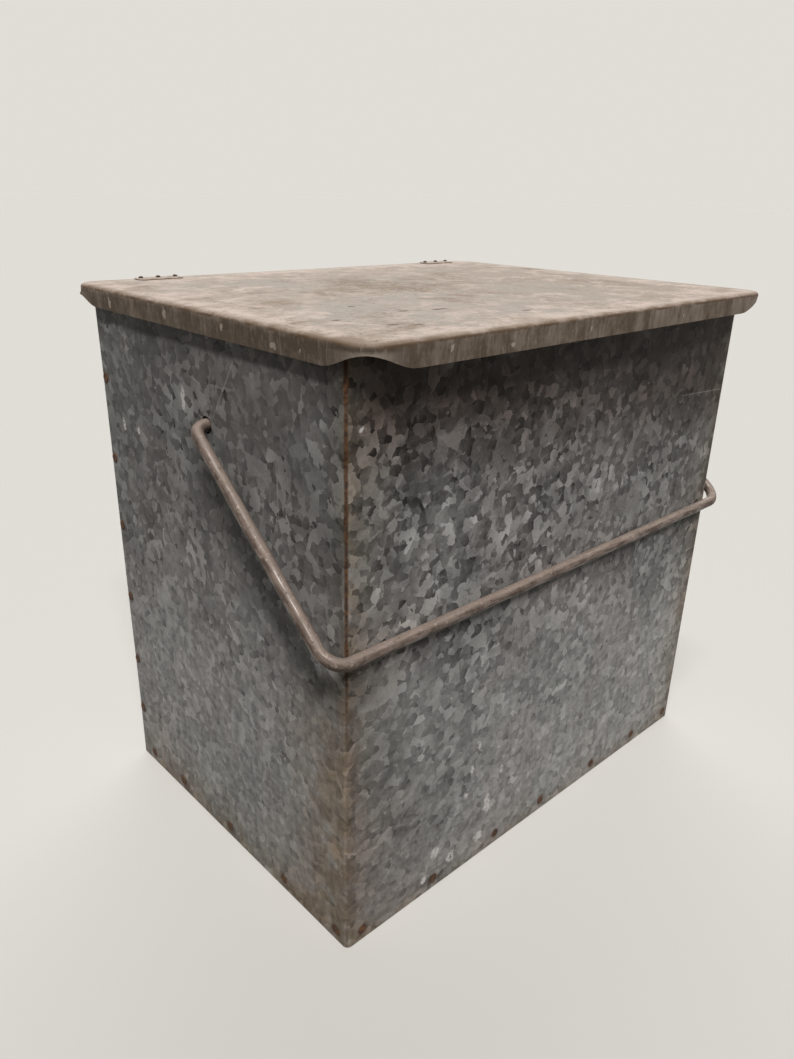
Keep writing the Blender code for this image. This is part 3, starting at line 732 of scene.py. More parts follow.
def weathered(name):
    """Dusty, oxidised zinc, with a top and a flange that aged differently, a rusty bend, and a lip
    in painted shade.
    """
    material, shader, at = new_finish(name)
    height = coordinate(at, 2)
    rim, worn, grime, lip = (mark(at, label) for label in ("rim", "worn", "grime", "lip"))
    top, pits = lid_top_colour(at, rim, worn, grime)
    side = lid_side_colour(at, height, lip, grime)
    level = height + swing(at, 5, 4, 0.6) * (0.7 * MM)
    colour = mix(under_top(level, 2.0, 0.5), side, top)
    bend = under_top(level, 2.3, 1.6) * under_top(level, 0.5, 1.1)
    broken = blotches(at, 10, 0.34, 0.60, 5, 0.7)
    # Dark along the bend is rust; on the knocked-out lip at the rear left it is painted shade.
    colour = mix(bend * broken * 0.9 + mark(at, "curl"), colour, LID_RUST_AND_LIP_SHADE)
    grain = noise(at, 2.2, 4, 0.65)
    feed(
        shader, Base_Color=colour, Metallic=0.05, Roughness=0.62 + grain * 0.15,
        Specular_IOR_Level=0.2, Normal=bumped(grain + pits * -0.5, 0.15),
    )
    return material


finishes["weathered_lid"] = weathered("weathered_lid")
print("lid finish:", list(finishes)[-1])

# %% [markdown]
# ## Wire, hinges and board
#
# The bail is bare steel that hands have polished and dirt has browned, with a broken shine along
# its draw marks. Its finish also paints shade on the wire's underside and a highlight along its
# top. The hinges rusted dark, as thin steel does where water sits, and their straps on the lid are
# as dusty as the lid. The board between the walls is hardly seen, but has its fibre.


# %% Small finishes
WIRE_BROWN = rgb(0.098, 0.069, 0.053)
WIRE_ROSE = rgb(0.225, 0.165, 0.132)
WIRE_PALE = rgb(0.60, 0.485, 0.415)
WIRE_DARK = rgb(0.045, 0.031, 0.024)
HINGE_DARK = rgb(0.022, 0.014, 0.010)
HINGE_LIGHT = rgb(0.085, 0.043, 0.024)
BOARD_BROWN = rgb(0.30, 0.21, 0.13)
BOARD_PALE = rgb(0.42, 0.31, 0.20)


def handled_wire(name):
    """Round steel wire, browned by dirt, with pale nicks, dark specks and draw marks along it,
    painted shade below and a painted highlight on top.
    """
    material, shader, at = new_finish(name)
    labels = ("along", "round_a", "round_b")
    places = {axis: mark(at, label) for axis, label in zip("XYZ", labels)}
    drawn = noise(at.node("CombineXYZ", {}, places), 1.3, 4, 0.7)
    worn = noise(at, 9, 5, 0.65)
    under = mark(at, "under") + (worn - 0.5) * 0.5
    speckle = noise(at, 1.8, 3, 0.6)
    colour = layered(
        mix(ease(worn * 0.5 + drawn * 0.5, 0.40, 0.60), WIRE_BROWN, WIRE_ROSE),
        # Painted shade on the wire's underside and a painted highlight along its top, from how far
        # it faces down.
        (ease(under, -0.30, 0.55) * 0.82, WIRE_DARK),
        (ease(under, -0.42, -0.90) * 0.35, WIRE_PALE),
        (ease(speckle, 0.60, 0.70) * 0.5, WIRE_PALE),
        (ease(speckle, 0.40, 0.28) * 0.7, WIRE_DARK),
    )
    shine = ease(drawn * 0.7 + worn * 0.3, 0.45, 0.58) * 0.8
    feed(
        shader, Base_Color=colour, Metallic=0.2, Roughness=0.70 - worn * 0.2,
        Specular_IOR_Level=0.25, Coat_Weight=shine, Coat_Roughness=0.2,
        Normal=bumped(speckle + drawn, 0.1),
    )
    return material


def rusted(name, dark, light):
    """Rusty or dusty steel of hinges, rivets and spot welds, between two colours."""
    material, shader, at = new_finish(name)
    colour = rust_colour(at, dark, light)
    grain = bumped(noise(at, 1.0, 4, 0.7), 0.2)
    feed(shader, Base_Color=colour, Metallic=0.1, Roughness=0.78, Normal=grain)
    return material


def fibre_board(name):
    """Brown board with flattened fibres."""
    material, shader, at = new_finish(name)
    fibres = noise(stretched(at, 1, 1, 3), 4, 5, 0.7)
    colour = mix(ease(fibres, 0.35, 0.65), BOARD_BROWN, BOARD_PALE)
    feed(shader, Base_Color=colour, Roughness=0.9, Normal=bumped(fibres, 0.3))
    return material


finishes["bail_wire"] = handled_wire("bail_wire")
finishes["rusty_steel"] = rusted("rusty_steel", HINGE_DARK, HINGE_LIGHT)
weld_finish = rusted("weld_rust", RUST_DARK, RUST_LIGHT)
strap_finish = rusted("dusty_strap", LID_BROWN, LID_PALE)
board_finish = fibre_board("fibre_board")
boards = [node for name, node in frame["nodes"].items() if "insulation" in name]
for board in boards:
    board.data.materials.clear()
    board.data.materials.append(board_finish)
print("finishes:", ", ".join(finishes), "and one for", len(boards), "boards")

# %% [markdown]
# ## The shell
#
# One sheet runs from the back of the left side, round two bends, to the back of the right side. Its
# grid follows that path across and the height down. Round each bail hole the grid's square rings
# are pulled onto circles, and the cells inside the hole are left out. The sheet isn't quite flat:
# such walls sink a little between their edges.


# %% Shell outline
CORNER_BEND = 3 * MM
BEND_STEPS = 9
SHELL_STEP = 3 * MM
HOLE_RADIUS = 4.375 * MM
HOLE_CELL = 0.9 * MM
HOLE_RINGS = 9
OPEN_RINGS = 4


def stations(low, high, step=SHELL_STEP, hole=None):
    """Places from low to high about a step apart, with fine ones round the middle of a hole."""
    if hole is None:
        return np.linspace(low, high, max(2, round((high - low) / step) + 1))
    fine = hole + HOLE_CELL * np.arange(-HOLE_RINGS, HOLE_RINGS + 1)
    before = stations(low, fine[0], step)[:-1]
    after = stations(fine[-1], high, step)[1:]
    return np.concatenate([before, fine, after])


def arc(centre, radius, angle):
    """Points at those angles, in radians, of a circle in the plane."""
    return joined(centre[0] + radius * np.cos(angle), centre[1] + radius * np.sin(angle))


def quarter_turn(x, y, start):
    """Outer points of a sheet's bend round (x, y), from a start in degrees, without its ends."""
    return arc((x, y), CORNER_BEND, np.radians(start + np.linspace(0, 90, BEND_STEPS))[1:-1])


edge_x = HALF_X - CORNER_BEND
edge_y = HALF_Y - CORNER_BEND
side_y = stations(-edge_y, HALF_Y, hole=BAIL_AXIS[1])
path = np.concatenate([
    joined(-HALF_X, side_y[::-1]),
    quarter_turn(-edge_x, -edge_y, 180),
    joined(stations(-edge_x, edge_x), -HALF_Y),
    quarter_turn(edge_x, -edge_y, 270),
    joined(HALF_X, side_y),
])
heights = stations(0.0, WALL_TOP, hole=BAIL_AXIS[2])[::-1]
print(f"shell grid: {len(heights)} heights of {len(path)} places")

# %% Shell with its holes


def pulled_to_hole(y, z):
    """Square rings of the grid, pulled onto circles near a bail hole, and the number of each ring.

    A ring's points keep their direction from the hole's middle. Their distance goes from the hole's
    radius at its edge to the square's own at the last ring.
    """
    across = (y - BAIL_AXIS[1]) / HOLE_CELL
    up = (z - BAIL_AXIS[2]) / HOLE_CELL
    ring = np.maximum(np.abs(across), np.abs(up))
    share = np.clip((ring - OPEN_RINGS) / (HOLE_RINGS - OPEN_RINGS), 0, 1)
    circle = HOLE_RADIUS / np.maximum(np.hypot(across, up), 0.5)
    square = HOLE_CELL * HOLE_RINGS / np.maximum(ring, 0.5)
    scale = np.where(ring > HOLE_RINGS + 0.5, HOLE_CELL, (1 - share) * circle + share * square)
    return BAIL_AXIS[1] + across * scale, BAIL_AXIS[2] + up * scale, ring


shell = joined(path[:, 0], path[:, 1], heights[:, None])
is_side = np.isclose(np.abs(path[:, 0]), HALF_X) & (path[:, 1] > -edge_y - FIT)
hole_ring = np.full(shell.shape[:2], np.inf)
shell[:, is_side, 1], shell[:, is_side, 2], hole_ring[:, is_side] = pulled_to_hole(
    shell[:, is_side, 1], shell[:, is_side, 2]
)
shell_faces = grid_faces(*shell.shape[:2])
walls = shell_faces[hole_ring.ravel()[shell_faces].mean(axis=1) > OPEN_RINGS]
print(f"bail holes: {len(shell_faces) - len(walls)} cells left out")

# %% [markdown]
# ## Wear on the shell
#
# Age isn't spread evenly. Rust starts where a bend cracked the zinc and at the spot welds that hold
# the base and the back panel. Dirt gathers beside the bends and along the foot. Below the lid the
# walls carry painted shade, the lid's shadow, mixed with some soot; on the front it reaches further
# down towards the right. The front also has a dark smear low on the left, and beside the bends,
# below the bail, painted shade of the bail mixed with dirt; low on the right it is a little lighter.
# The sides and the right of the front are calmer than the rest.
# These are sums of falling curves of the distance to a line or a point, kept as numbers on the
# mesh, and the zinc's shader reads them.

# %% Wear on the shell
SINK = 0.25 * MM
SINK_MARGIN = 45 * MM
SINK_WAVE = 150 * MM
WELD_RISE = 6.5 * MM
REAR_WELD_INSET = 3 * MM
FRONT_WELDS = np.array([-146, -94, -41.5, 2, 57, 106, 148.5]) * MM
SIDE_WELDS = np.array([-99, -54, 1, 56, 95]) * MM
REAR_WELDS = np.array([37, 74.5, 120.5, 169, 212, 259.5]) * MM
SCUFFS = ((-70, 60, 20, 0.30), (-45, 90, 16, 0.25), (-110, 40, 14, 0.25), (60, 30, 40, 0.15))


def sunk(to_edge, u, v, seed):
    """Depth by which a wall sinks between its edges: none along them, then wavy."""
    share = np.clip(to_edge / SINK_MARGIN, 0, 1)
    return SINK * share * (1 + waves(u, v, SINK_WAVE, seed))


side_spots = np.concatenate([
    joined(HALF_X, SIDE_WELDS, WELD_RISE), joined(HALF_X, HALF_Y - REAR_WELD_INSET, REAR_WELDS),
])
weld_spots = np.concatenate([
    joined(FRONT_WELDS, -HALF_Y, WELD_RISE), side_spots, side_spots * [-1, 1, 1],
])

walked = walked_along(path)
left_bend = walked[len(side_y) + BEND_STEPS // 2 - 1]
right_bend = walked[-1] - left_bend
from_bend = np.minimum(np.abs(walked - left_bend), np.abs(right_bend - walked))
is_front = (walked > left_bend) & (walked < right_bend)
across = shell[..., 0]
up = shell[..., 2]
below_lid = WALL_TOP - up
sink = sunk(np.minimum(from_bend, np.minimum(below_lid, up)), walked, up, 5)
outward = point_normals(shell.reshape(-1, 3), shell_faces).reshape(shell.shape)

foot_dirt = np.where(is_front, 0.7 * fading(up, 7), fading(up, 18))
bend_dirt = np.where(is_front, fading(from_bend, 13), 0.7 * fading(from_bend, 5))
corner_dirt = np.where(is_front, 0.0, bell(from_bend, 34)) * below(up, 140, 12)
# Painted shadow of the lid on the front, with some soot: deeper towards the right, less beside the
# bends.
lid_shadow_reach = 52 + 0.06 * (across + HALF_X) / MM
lid_shadow_and_soot = 0.95 * below(below_lid, lid_shadow_reach, 9) * (1 - 0.6 * bell(from_bend, 10))
low_smear = 0.36 * bell(across, 55, -125) * bell(up, 55, 45)
low_shine = 0.20 * bell(across, 60, 120) * bell(up, 60, 50)
# Painted shade of the bail on the front beside the bends, below its bar, mixed with a dirty smear.
bail_shade_and_smear = 0.30 * fading(from_bend, 12) * below(up, 172, 4) * np.clip(up / (90 * MM), 0, 1)
front_shade_and_soot = lid_shadow_and_soot + low_smear - low_shine + bail_shade_and_smear
to_weld = np.linalg.norm(shell[..., None, :] - weld_spots, axis=-1)
cracked = 0.34 + 0.28 * below(up, 150, -12)
scuff = sum(
    depth * bell(across, reach, x) * bell(up, reach, z) * is_front for x, z, reach, depth in SCUFFS
)
shell_marks = {
    "dirt": np.clip(foot_dirt + bend_dirt + corner_dirt, 0, 1),
    # On the sides this mark is painted shade below the lid's flange, with some soot.
    "soot": np.where(is_front, front_shade_and_soot, 0.6 * fading(below_lid, 12)),
    "rust": cracked * bell(from_bend, 1.2) + 0.6 * bell(to_weld, 5).sum(axis=-1),
    "scuff": scuff,
    "calm": np.where(is_front, 0.75 * below(across, 20, -20), 1.0),
}
add_sheet(
    "shell_sheet", shell - sink[..., None] * outward, walls, SHEET, "box",
    "galvanised_wall", "shell_wrap", shell_marks,
)

# %% [markdown]
# ## The back panel
#
# The back is a sheet of its own, with two flanges that lie inside the sides, where the rear row of
# spot welds holds them. Its grid is made like the shell's. At the foot the flanges are cut away for
# the base pan, so those cells are left out.

# %% Back panel
BACK_FLANGE = 16 * MM
BASE_FLANGE = 14 * MM

inner_x = HALF_X - SHEET - FIT
back_edge = inner_x - CORNER_BEND
flange_y = stations(HALF_Y - BACK_FLANGE, edge_y)
back_path = np.concatenate([
    joined(inner_x, flange_y),
    quarter_turn(back_edge, edge_y, 0),
    joined(stations(-back_edge, back_edge)[::-1], HALF_Y),
    quarter_turn(-back_edge, edge_y, 90),
    joined(-inner_x, flange_y[::-1]),
])
notch = stations(0.0, BASE_FLANGE + FIT)
back_heights = np.concatenate([notch, stations(notch[-1], WALL_TOP)[1:]])[::-1]
back = joined(back_path[:, 0], back_path[:, 1], back_heights[:, None])
back_faces = grid_faces(*back.shape[:2])
cell = back.reshape(-1, 3)[back_faces].mean(axis=1)
is_notch = (cell[:, 2] < notch[-1]) & (np.abs(cell[:, 0]) > back_edge)
rise = back[..., 2]
to_edge = np.minimum(np.minimum(rise, WALL_TOP - rise), inner_x - np.abs(back[..., 0]))
back[..., 1] -= sunk(to_edge, back[..., 0], rise, 8)
back_dirt = 0.6 * fading(rise, 9) + 0.3 * fading(WALL_TOP - rise, 30)
add_sheet(
    "back_sheet", back, back_faces[~is_notch], SHEET, "box",
    "galvanised_wall", "back_panel", {"dirt": back_dirt},
)

# %% [markdown]
# ## Trays
#
# Base, liner floor, lid and the pan inside the lid are all trays: a flat plate, a bend and a
# flange, with rounded corners. The skeleton of a rounded rectangle is a core rectangle with an
# outward direction at every point. A ring of any corner radius is then core plus radius times
# direction, so one skeleton serves every row of a tray, and a tray is a list of insets and heights.

# %% Tray helpers
ARC_STEPS = 12
SIDE_STEPS = 40
PLATE_ROWS = 28
SIDE_POINTS = ARC_STEPS + 1 + SIDE_STEPS


def rounded_frame(half_x, half_y, radius, centre_y=0.0):
    """Skeleton of a rounded rectangle, counter-clockwise: core points and outward directions.

    The third array is how far along its side a point lies from the nearest corner's arc, and below
    zero on the arc itself.
    """
    signs = np.array([[1, -1], [1, 1], [-1, 1], [-1, -1]])
    corner = signs * [half_x - radius, half_y - radius] + [0, centre_y]
    ahead = np.roll(corner, -1, axis=0) - corner
    step = np.linspace(0, 1, ARC_STEPS + 1)
    share = (1 - np.cos(np.pi * np.linspace(0, 1, SIDE_STEPS + 2)[1:-1])) / 2
    turned = np.concatenate([step, np.ones(SIDE_STEPS)])
    angle = np.pi / 2 * (np.arange(4)[:, None] - 1 + turned)
    run = np.concatenate([np.zeros(ARC_STEPS + 1), share])
    core = corner[:, None] + run[:, None] * ahead[:, None]
    out = joined(np.cos(angle), np.sin(angle))
    on_arc = np.tile(-radius * np.pi / 2 * np.minimum(step, 1 - step), (4, 1))
    on_side = np.minimum(share, 1 - share) * np.linalg.norm(ahead, axis=1)[:, None]
    beyond = np.concatenate([on_arc, on_side], axis=1)
    return core.reshape(-1, 2), out.reshape(-1, 2), beyond.ravel()


def rings(skeleton, radius, heights):
    """Rows of a tray's flange: one corner radius and one height per row, or per point."""
    core, out, _ = skeleton
    radius = np.reshape(radius, (len(radius), -1))
    heights = np.reshape(heights, (len(heights), -1))
    return joined(core[:, 0] + radius * out[:, 0], core[:, 1] + radius * out[:, 1], heights)


def with_plate(rows):
    """Rows with a flat plate before them: the first ring shrunk in steps to the plate's middle."""
    middle = (rows[0].min(axis=0) + rows[0].max(axis=0)) / 2
    share = np.linspace(0, 1, PLATE_ROWS, endpoint=False)[:, None, None]
    return np.concatenate([middle + share * (rows[0] - middle), rows])


def add_tray(name, grid, thickness, body, slot, node, marks=None, pole=True):
    """A tray as a sheet, closed round its rings, with a point in the middle of its plate if any."""
    faces = grid_faces(*grid.shape[:2], wrapped=True, first_pole=pole)
    add_sheet(name, grid, faces, thickness, body, slot, node, marks)


print(f"a ring has {4 * SIDE_POINTS} points")

# %% [markdown]
# ## The lid
#
# The lid is a drawn pan. Its flange is nearly vertical, but round each corner, where the metal had
# to gather, the edge arches up to a short lip. So the flange's lower edge is a height that depends
# on the distance from the corner, by a smooth step. The lip at the rear left was knocked outwards.
# The plate carries shallow dents from use.

# %% Lid
LID_CORNER = 13.5 * MM
LID_BEND = 2 * MM
LID_FLANGE = LID_TOP - lid_low[2]
FLANGE_ROWS = 6
LIP_DEPTH = 4.5 * MM
CURL_OUT = 1.7 * MM
CURL_DROP = 1.2 * MM
ARCH_REACH = 13.5 * MM
LID_DENT = 0.35 * MM
DENT_MARGIN = 3 * MM
DENT_FADE = 25 * MM
DENT_LENGTH = 70 * MM
FLANGE_WAVE = 0.3 * MM
FLANGE_WAVE_LENGTH = 60 * MM

lid_half = (lid_high - lid_low) / 2
lid_centre_y = (lid_high[1] + lid_low[1]) / 2
lid_frame = rounded_frame(lid_half[0], lid_half[1], LID_CORNER, lid_centre_y)
half_arc = LID_CORNER * math.pi / 4
arch = np.clip((lid_frame[2] + half_arc) / (ARCH_REACH + half_arc), 0, 1)
arch = arch ** 2 * (3 - 2 * arch)
curl = np.zeros(len(arch))
rear_left = 2 * SIDE_POINTS + np.arange(ARC_STEPS + 1)
curl[rear_left] = np.sin(np.pi * np.linspace(0, 1, ARC_STEPS + 1)) ** 2
lid_edge = LID_TOP - LIP_DEPTH - (LID_FLANGE - LIP_DEPTH) * arch - CURL_DROP * curl

bend_angle = np.radians(np.linspace(0, 90, BEND_STEPS))
every_point = np.ones(len(arch))
bend_radius = (LID_CORNER - LID_BEND + LID_BEND * np.sin(bend_angle))[:, None] * every_point
bend_height = (LID_TOP - LID_BEND + LID_BEND * np.cos(bend_angle))[:, None] * every_point
down = np.linspace(0, 1, FLANGE_ROWS + 1)[1:, None]
flange_height = LID_TOP - LID_BEND + down * (lid_edge - LID_TOP + LID_BEND)
flange_wave = FLANGE_WAVE * (1 + waves(walked_along(lid_frame[0]), 0.0, FLANGE_WAVE_LENGTH, 3))
flange_radius = LID_CORNER - down * flange_wave + CURL_OUT * curl * down ** 2
lid = with_plate(rings(
    lid_frame, np.concatenate([bend_radius, flange_radius]),
    np.concatenate([bend_height, flange_height]),
))
lid_x, lid_y, lid_z = np.moveaxis(lid, -1, 0)
inside_x = lid_half[0] - np.abs(lid_x)
inside_y = lid_half[1] - np.abs(lid_y - lid_centre_y)
inside = np.clip(np.minimum(inside_x, inside_y), 0, 1)
dents = 1 + waves(lid_x, lid_y, DENT_LENGTH, 11)
lid_z += LID_DENT * np.clip((inside - DENT_MARGIN) / DENT_FADE, 0, 1) * dents
bend_foot = LID_TOP - LID_BEND
is_left_side = (lid_z < bend_foot) & (lid_x < -lid_half[0] + LID_BEND)
to_near_corner = np.hypot(lid_x + lid_half[0], lid_y - lid_low[1])
lid_marks = {
    "rim": fading(inside, 20),
    "worn": bell(lid_x, 45, -14) * bell(lid_y, 48, 16),
    # Near the front left corner this is dirt; on the flange's left side it is painted shade.
    "grime": fading(to_near_corner, 35) + 0.8 * is_left_side,
    "lip": np.broadcast_to(1 - arch, lid_z.shape),
    # The knocked-out lip, which the lid's finish paints dark as painted shade.
    "curl": np.sqrt(curl) * np.clip((bend_foot - lid_z) / LID_BEND, 0, 1),
}
add_tray("lid_skin", lid, SHEET, "lid", "weathered_lid", "lid_pan", lid_marks)

# %% [markdown]
# ## Base, liner and inner lid
#
# Inside the shell stands a liner with a rim that lies on the wall tops, over a floor with upturned
# flanges. The base is the same kind of tray, seen from below. A shallower pan under the lid drops
# into the liner's mouth and holds the lid's board.

# %% Base and liner floor
BASE_BEND = 3 * MM
LINER_CORNER = 6 * MM
LINER_BEND = 0.8 * MM
FLOOR_BEND = 1.5 * MM
UPTURN_ROWS = 4

base_low, base_high = corners_of("base_pan")
floor_low, floor_high = corners_of("liner_floor")


def upturned_tray(low, high, corner, bend, sheet):
    """Inner face of a tray with upturned flanges, from its plate round the bend to the edge."""
    hollow = bend - sheet
    bent = corner - bend + hollow * np.sin(bend_angle)
    radius = np.append(bent, np.full(UPTURN_ROWS, corner - sheet))
    upright = np.linspace(bend, high[2] - low[2], UPTURN_ROWS + 1)[1:]
    rise = np.append(bend - hollow * np.cos(bend_angle), upright)
    return with_plate(rings(rounded_frame(high[0], high[1], corner), radius, low[2] + rise))


base = upturned_tray(base_low, base_high, CORNER_BEND + BASE_BEND, BASE_BEND, SHEET)
add_tray("base_tray", base, SHEET, "box", "galvanised_wall", "base_pan")
floor_corner = LINER_CORNER - LINER_SHEET - FIT
liner_floor = upturned_tray(floor_low, floor_high, floor_corner, FLOOR_BEND, LINER_SHEET)
add_tray("liner_tray", liner_floor, LINER_SHEET, "box", "galvanised_liner", "liner_floor")

# %% Liner walls
LINER_STEP = 8 * MM

liner_low, liner_high = corners_of("liner_wall")
liner_x = floor_high[0] + FIT + LINER_SHEET
liner_y = floor_high[1] + FIT + LINER_SHEET
mouth_bend = LINER_BEND + LINER_SHEET
mouth_z = liner_high[2] - mouth_bend
wall_rows = stations(liner_low[2], mouth_z, LINER_STEP)
mouth_radius = LINER_CORNER + LINER_BEND - mouth_bend * np.cos(bend_angle[1:])
wall_radius = np.append(np.full(len(wall_rows), LINER_CORNER - LINER_SHEET), mouth_radius)
wall_height = np.append(wall_rows, mouth_z + mouth_bend * np.sin(bend_angle[1:]))
rim_frame = rounded_frame(liner_high[0], liner_high[1], CORNER_BEND)
liner = np.concatenate([
    rings(rounded_frame(liner_x, liner_y, LINER_CORNER), wall_radius, wall_height),
    rings(rim_frame, [CORNER_BEND], [liner_high[2]]),
])
add_tray(
    "liner_sheet", liner, LINER_SHEET, "box", "galvanised_liner", "liner_wall", pole=False,
)

# %% Inner lid
PLUG_BEND = 1.5 * MM
PLUG_CORNER = 10.5 * MM
PLUG_DRAFT = 2 * MM
PLUG_CLEARANCE = 2.5 * MM

plug_low, plug_high = corners_of("lid_inner_pan")
plug_x = liner_x - LINER_SHEET - PLUG_CLEARANCE
plug_y = liner_y - LINER_SHEET - PLUG_CLEARANCE
plug_z = plug_low[2]
plug_flange_z = plug_high[2] - LINER_SHEET
foot_bend = PLUG_BEND + LINER_SHEET


def rounded_corner(before, corner, after, radius):
    """Points of an arc of that radius that touches both legs of a corner."""
    back = unit(before - corner)
    ahead = unit(after - corner)
    half_opening = np.arccos(np.clip(back @ ahead, -1, 1)) / 2
    centre = corner + unit(back + ahead) * radius / np.sin(half_opening)
    start = corner + back * radius / np.tan(half_opening) - centre
    angle = np.linspace(0, np.pi - 2 * half_opening, BEND_STEPS)[:, None]
    return centre + start * np.cos(angle) - back * radius * np.sin(angle)


plug_legs = np.array([
    [-PLUG_DRAFT - 2 * foot_bend, plug_z], [-PLUG_DRAFT, plug_z],
    [0, plug_flange_z], [plug_high[0] - plug_x, plug_flange_z],
])
plug_path = np.concatenate([
    plug_legs[:1],
    rounded_corner(*plug_legs[:3], foot_bend),
    rounded_corner(*plug_legs[1:], PLUG_BEND),
    plug_legs[3:],
])
plug_frame = rounded_frame(plug_x, plug_y, PLUG_CORNER)
plug = with_plate(rings(plug_frame, PLUG_CORNER + plug_path[:, 0], plug_path[:, 1]))
add_tray("lid_plug", plug, -LINER_SHEET, "lid", "galvanised_liner", "lid_inner_pan")

# %% [markdown]
# ## The bail
#
# The bail is one length of round wire: two short ends that turn in the punched holes, two splayed
# arms, and a bar that lies along the front. All of it lies in one plane through the pivots, so a
# circle that is carried along the path needs no twisting: one of its axes is the plane's normal.
# The wire swells and thins by a few hundredths of a millimetre, as drawn wire does.

# %% Bail
WIRE_RADIUS = 3.175 * MM
WIRE_END_INSET = 8.2 * MM
SHOULDER = 7 * MM
SPLAY = 4.5 * MM
SHOULDER_BEND = 6.5 * MM
BAR_BEND = 11 * MM
WIRE_STEP = 3 * MM
WIRE_SIDES = 28
WIRE_SWELL = 0.04 * MM
SWELL_LENGTH = 30 * MM
END_ROUND = 0.6 * MM
DRAW_STRETCH = 0.1
MIRRORED = [-1, 1, 1]

bail_low, _ = corners_of("bail")
wire_end = np.array([HALF_X - WIRE_END_INSET, *BAIL_AXIS[1:]])
shoulder = np.array([HALF_X + SHOULDER, *BAIL_AXIS[1:]])
bar_end = np.array([HALF_X + SHOULDER + SPLAY, *(bail_low[1:] + WIRE_RADIUS)])


def filled(points, step):
    """A polyline with each stretch cut into equal parts no longer than about a step."""
    lengths = np.linalg.norm(np.diff(points, axis=0), axis=1)
    parts = np.maximum(np.round(lengths / step).astype(int), 1)
    at = np.concatenate([k + np.arange(n) / n for k, n in enumerate(parts)] + [[len(parts)]])
    return joined(*(np.interp(at, np.arange(len(points)), column) for column in points.T))


right_half = np.concatenate([
    wire_end[None],
    rounded_corner(wire_end, shoulder, bar_end, SHOULDER_BEND),
    rounded_corner(shoulder, bar_end, bar_end * MIRRORED, BAR_BEND),
])
wire = filled(np.concatenate([right_half, (right_half * MIRRORED)[::-1]]), WIRE_STEP)
along = unit(np.gradient(wire, axis=0))
plane = unit(np.cross([1.0, 0.0, 0.0], bar_end - shoulder))
beside = np.cross(along, plane)
spin = np.linspace(0, 2 * np.pi, WIRE_SIDES, endpoint=False)[:, None]
length = walked_along(wire)
thick = WIRE_RADIUS + WIRE_SWELL * (waves(length, 0.0, SWELL_LENGTH, 21) - 0.5)
circle = plane * np.cos(spin) + beside[:, None] * np.sin(spin)
tube = wire[:, None] + thick[:, None, None] * circle
tube[0] += along[0] * END_ROUND
tube[-1] -= along[-1] * END_ROUND
cap_radius = WIRE_RADIUS - END_ROUND
first_cap, last_cap = (wire[k] + cap_radius * circle[k] for k in (0, -1))
first_tip, last_tip = (np.broadcast_to(wire[k], first_cap.shape) for k in (0, -1))
tube = np.concatenate([[first_tip, first_cap], tube, [last_cap, last_tip]])
beyond_ends = ((2, 2), (0, 0))
wire_marks = {
    "along": DRAW_STRETCH * np.pad(length, 2, mode="edge")[:, None],
    "round_a": WIRE_RADIUS * np.cos(spin).T,
    "round_b": WIRE_RADIUS * np.sin(spin).T,
    # How far the wire's surface faces down, for its painted shade below and painted highlight on
    # top.
    "under": np.pad(-circle[..., 2], beyond_ends, mode="edge"),
}
add_piece(
    "bail_wire_bent", tube, capped_faces(tube), "bail", "bail_wire", ["bail"],
    {label: np.broadcast_to(values, tube.shape[:2]) for label, values in wire_marks.items()},
)

# %% [markdown]
# ## Hinges
#
# Each hinge is two leaves of strip steel, rolled round a pin. A leaf is a path in the side view,
# carried along the hinge's width: flat, then round the pin. Where the other leaf's knuckle sits,
# the cells of the roll are left out. A strap on the lid's top and a leaf below it hold the lid
# between three rivets.

# %% Hinge leaves
STRIP = 1.2 * MM
PIN_RADIUS = 1.6 * MM
BARREL = PIN_RADIUS + FIT + STRIP
KNUCKLE = 12 * MM
ELBOW = 1 * MM
ROLL_STEPS = 30
ELBOW_STEPS = 7
FLAT_STEPS = 10
LEG_STEPS = 5
END_COLUMNS, GAP_COLUMNS = 5, 6
SIDES = ("left", "right")

meeting = math.acos(1 - STRIP / BARREL)
axis_y, axis_z = LID_AXIS[1:]


def roll(start, end):
    """Points (y, z) of a leaf's roll round the pin, between two angles in radians."""
    return arc((axis_y, axis_z), BARREL, np.linspace(start, end, ROLL_STEPS))


def add_leaf(name, profile, ends, half_gap, keeps_middle, body, node):
    """A leaf: its outer face's profile carried along X, rolled only beside or inside the gap.

    The roll of one leaf keeps its middle, and the other's keeps what lies beyond the gap's ends.
    """
    centre = (ends[0] + ends[1]) / 2
    gap = (centre - half_gap, centre + half_gap)
    columns = np.concatenate([
        np.linspace(ends[0], gap[0], END_COLUMNS),
        np.linspace(*gap, GAP_COLUMNS)[1:],
        np.linspace(gap[1], ends[1], END_COLUMNS)[1:],
    ])
    grid = joined(columns, profile[:, :1], profile[:, 1:])
    faces = grid_faces(*grid.shape[:2])
    cell = grid.reshape(-1, 3)[faces].mean(axis=1)
    reach = BARREL + FIT
    near_pin = (np.abs(cell[:, 1] - axis_y) < reach) & (np.abs(cell[:, 2] - axis_z) < reach)
    in_middle = np.abs(cell[:, 0] - centre) < half_gap
    faces = faces[~near_pin | (in_middle == keeps_middle)]
    add_sheet(name, grid, faces, STRIP, body, "rusty_steel", node)


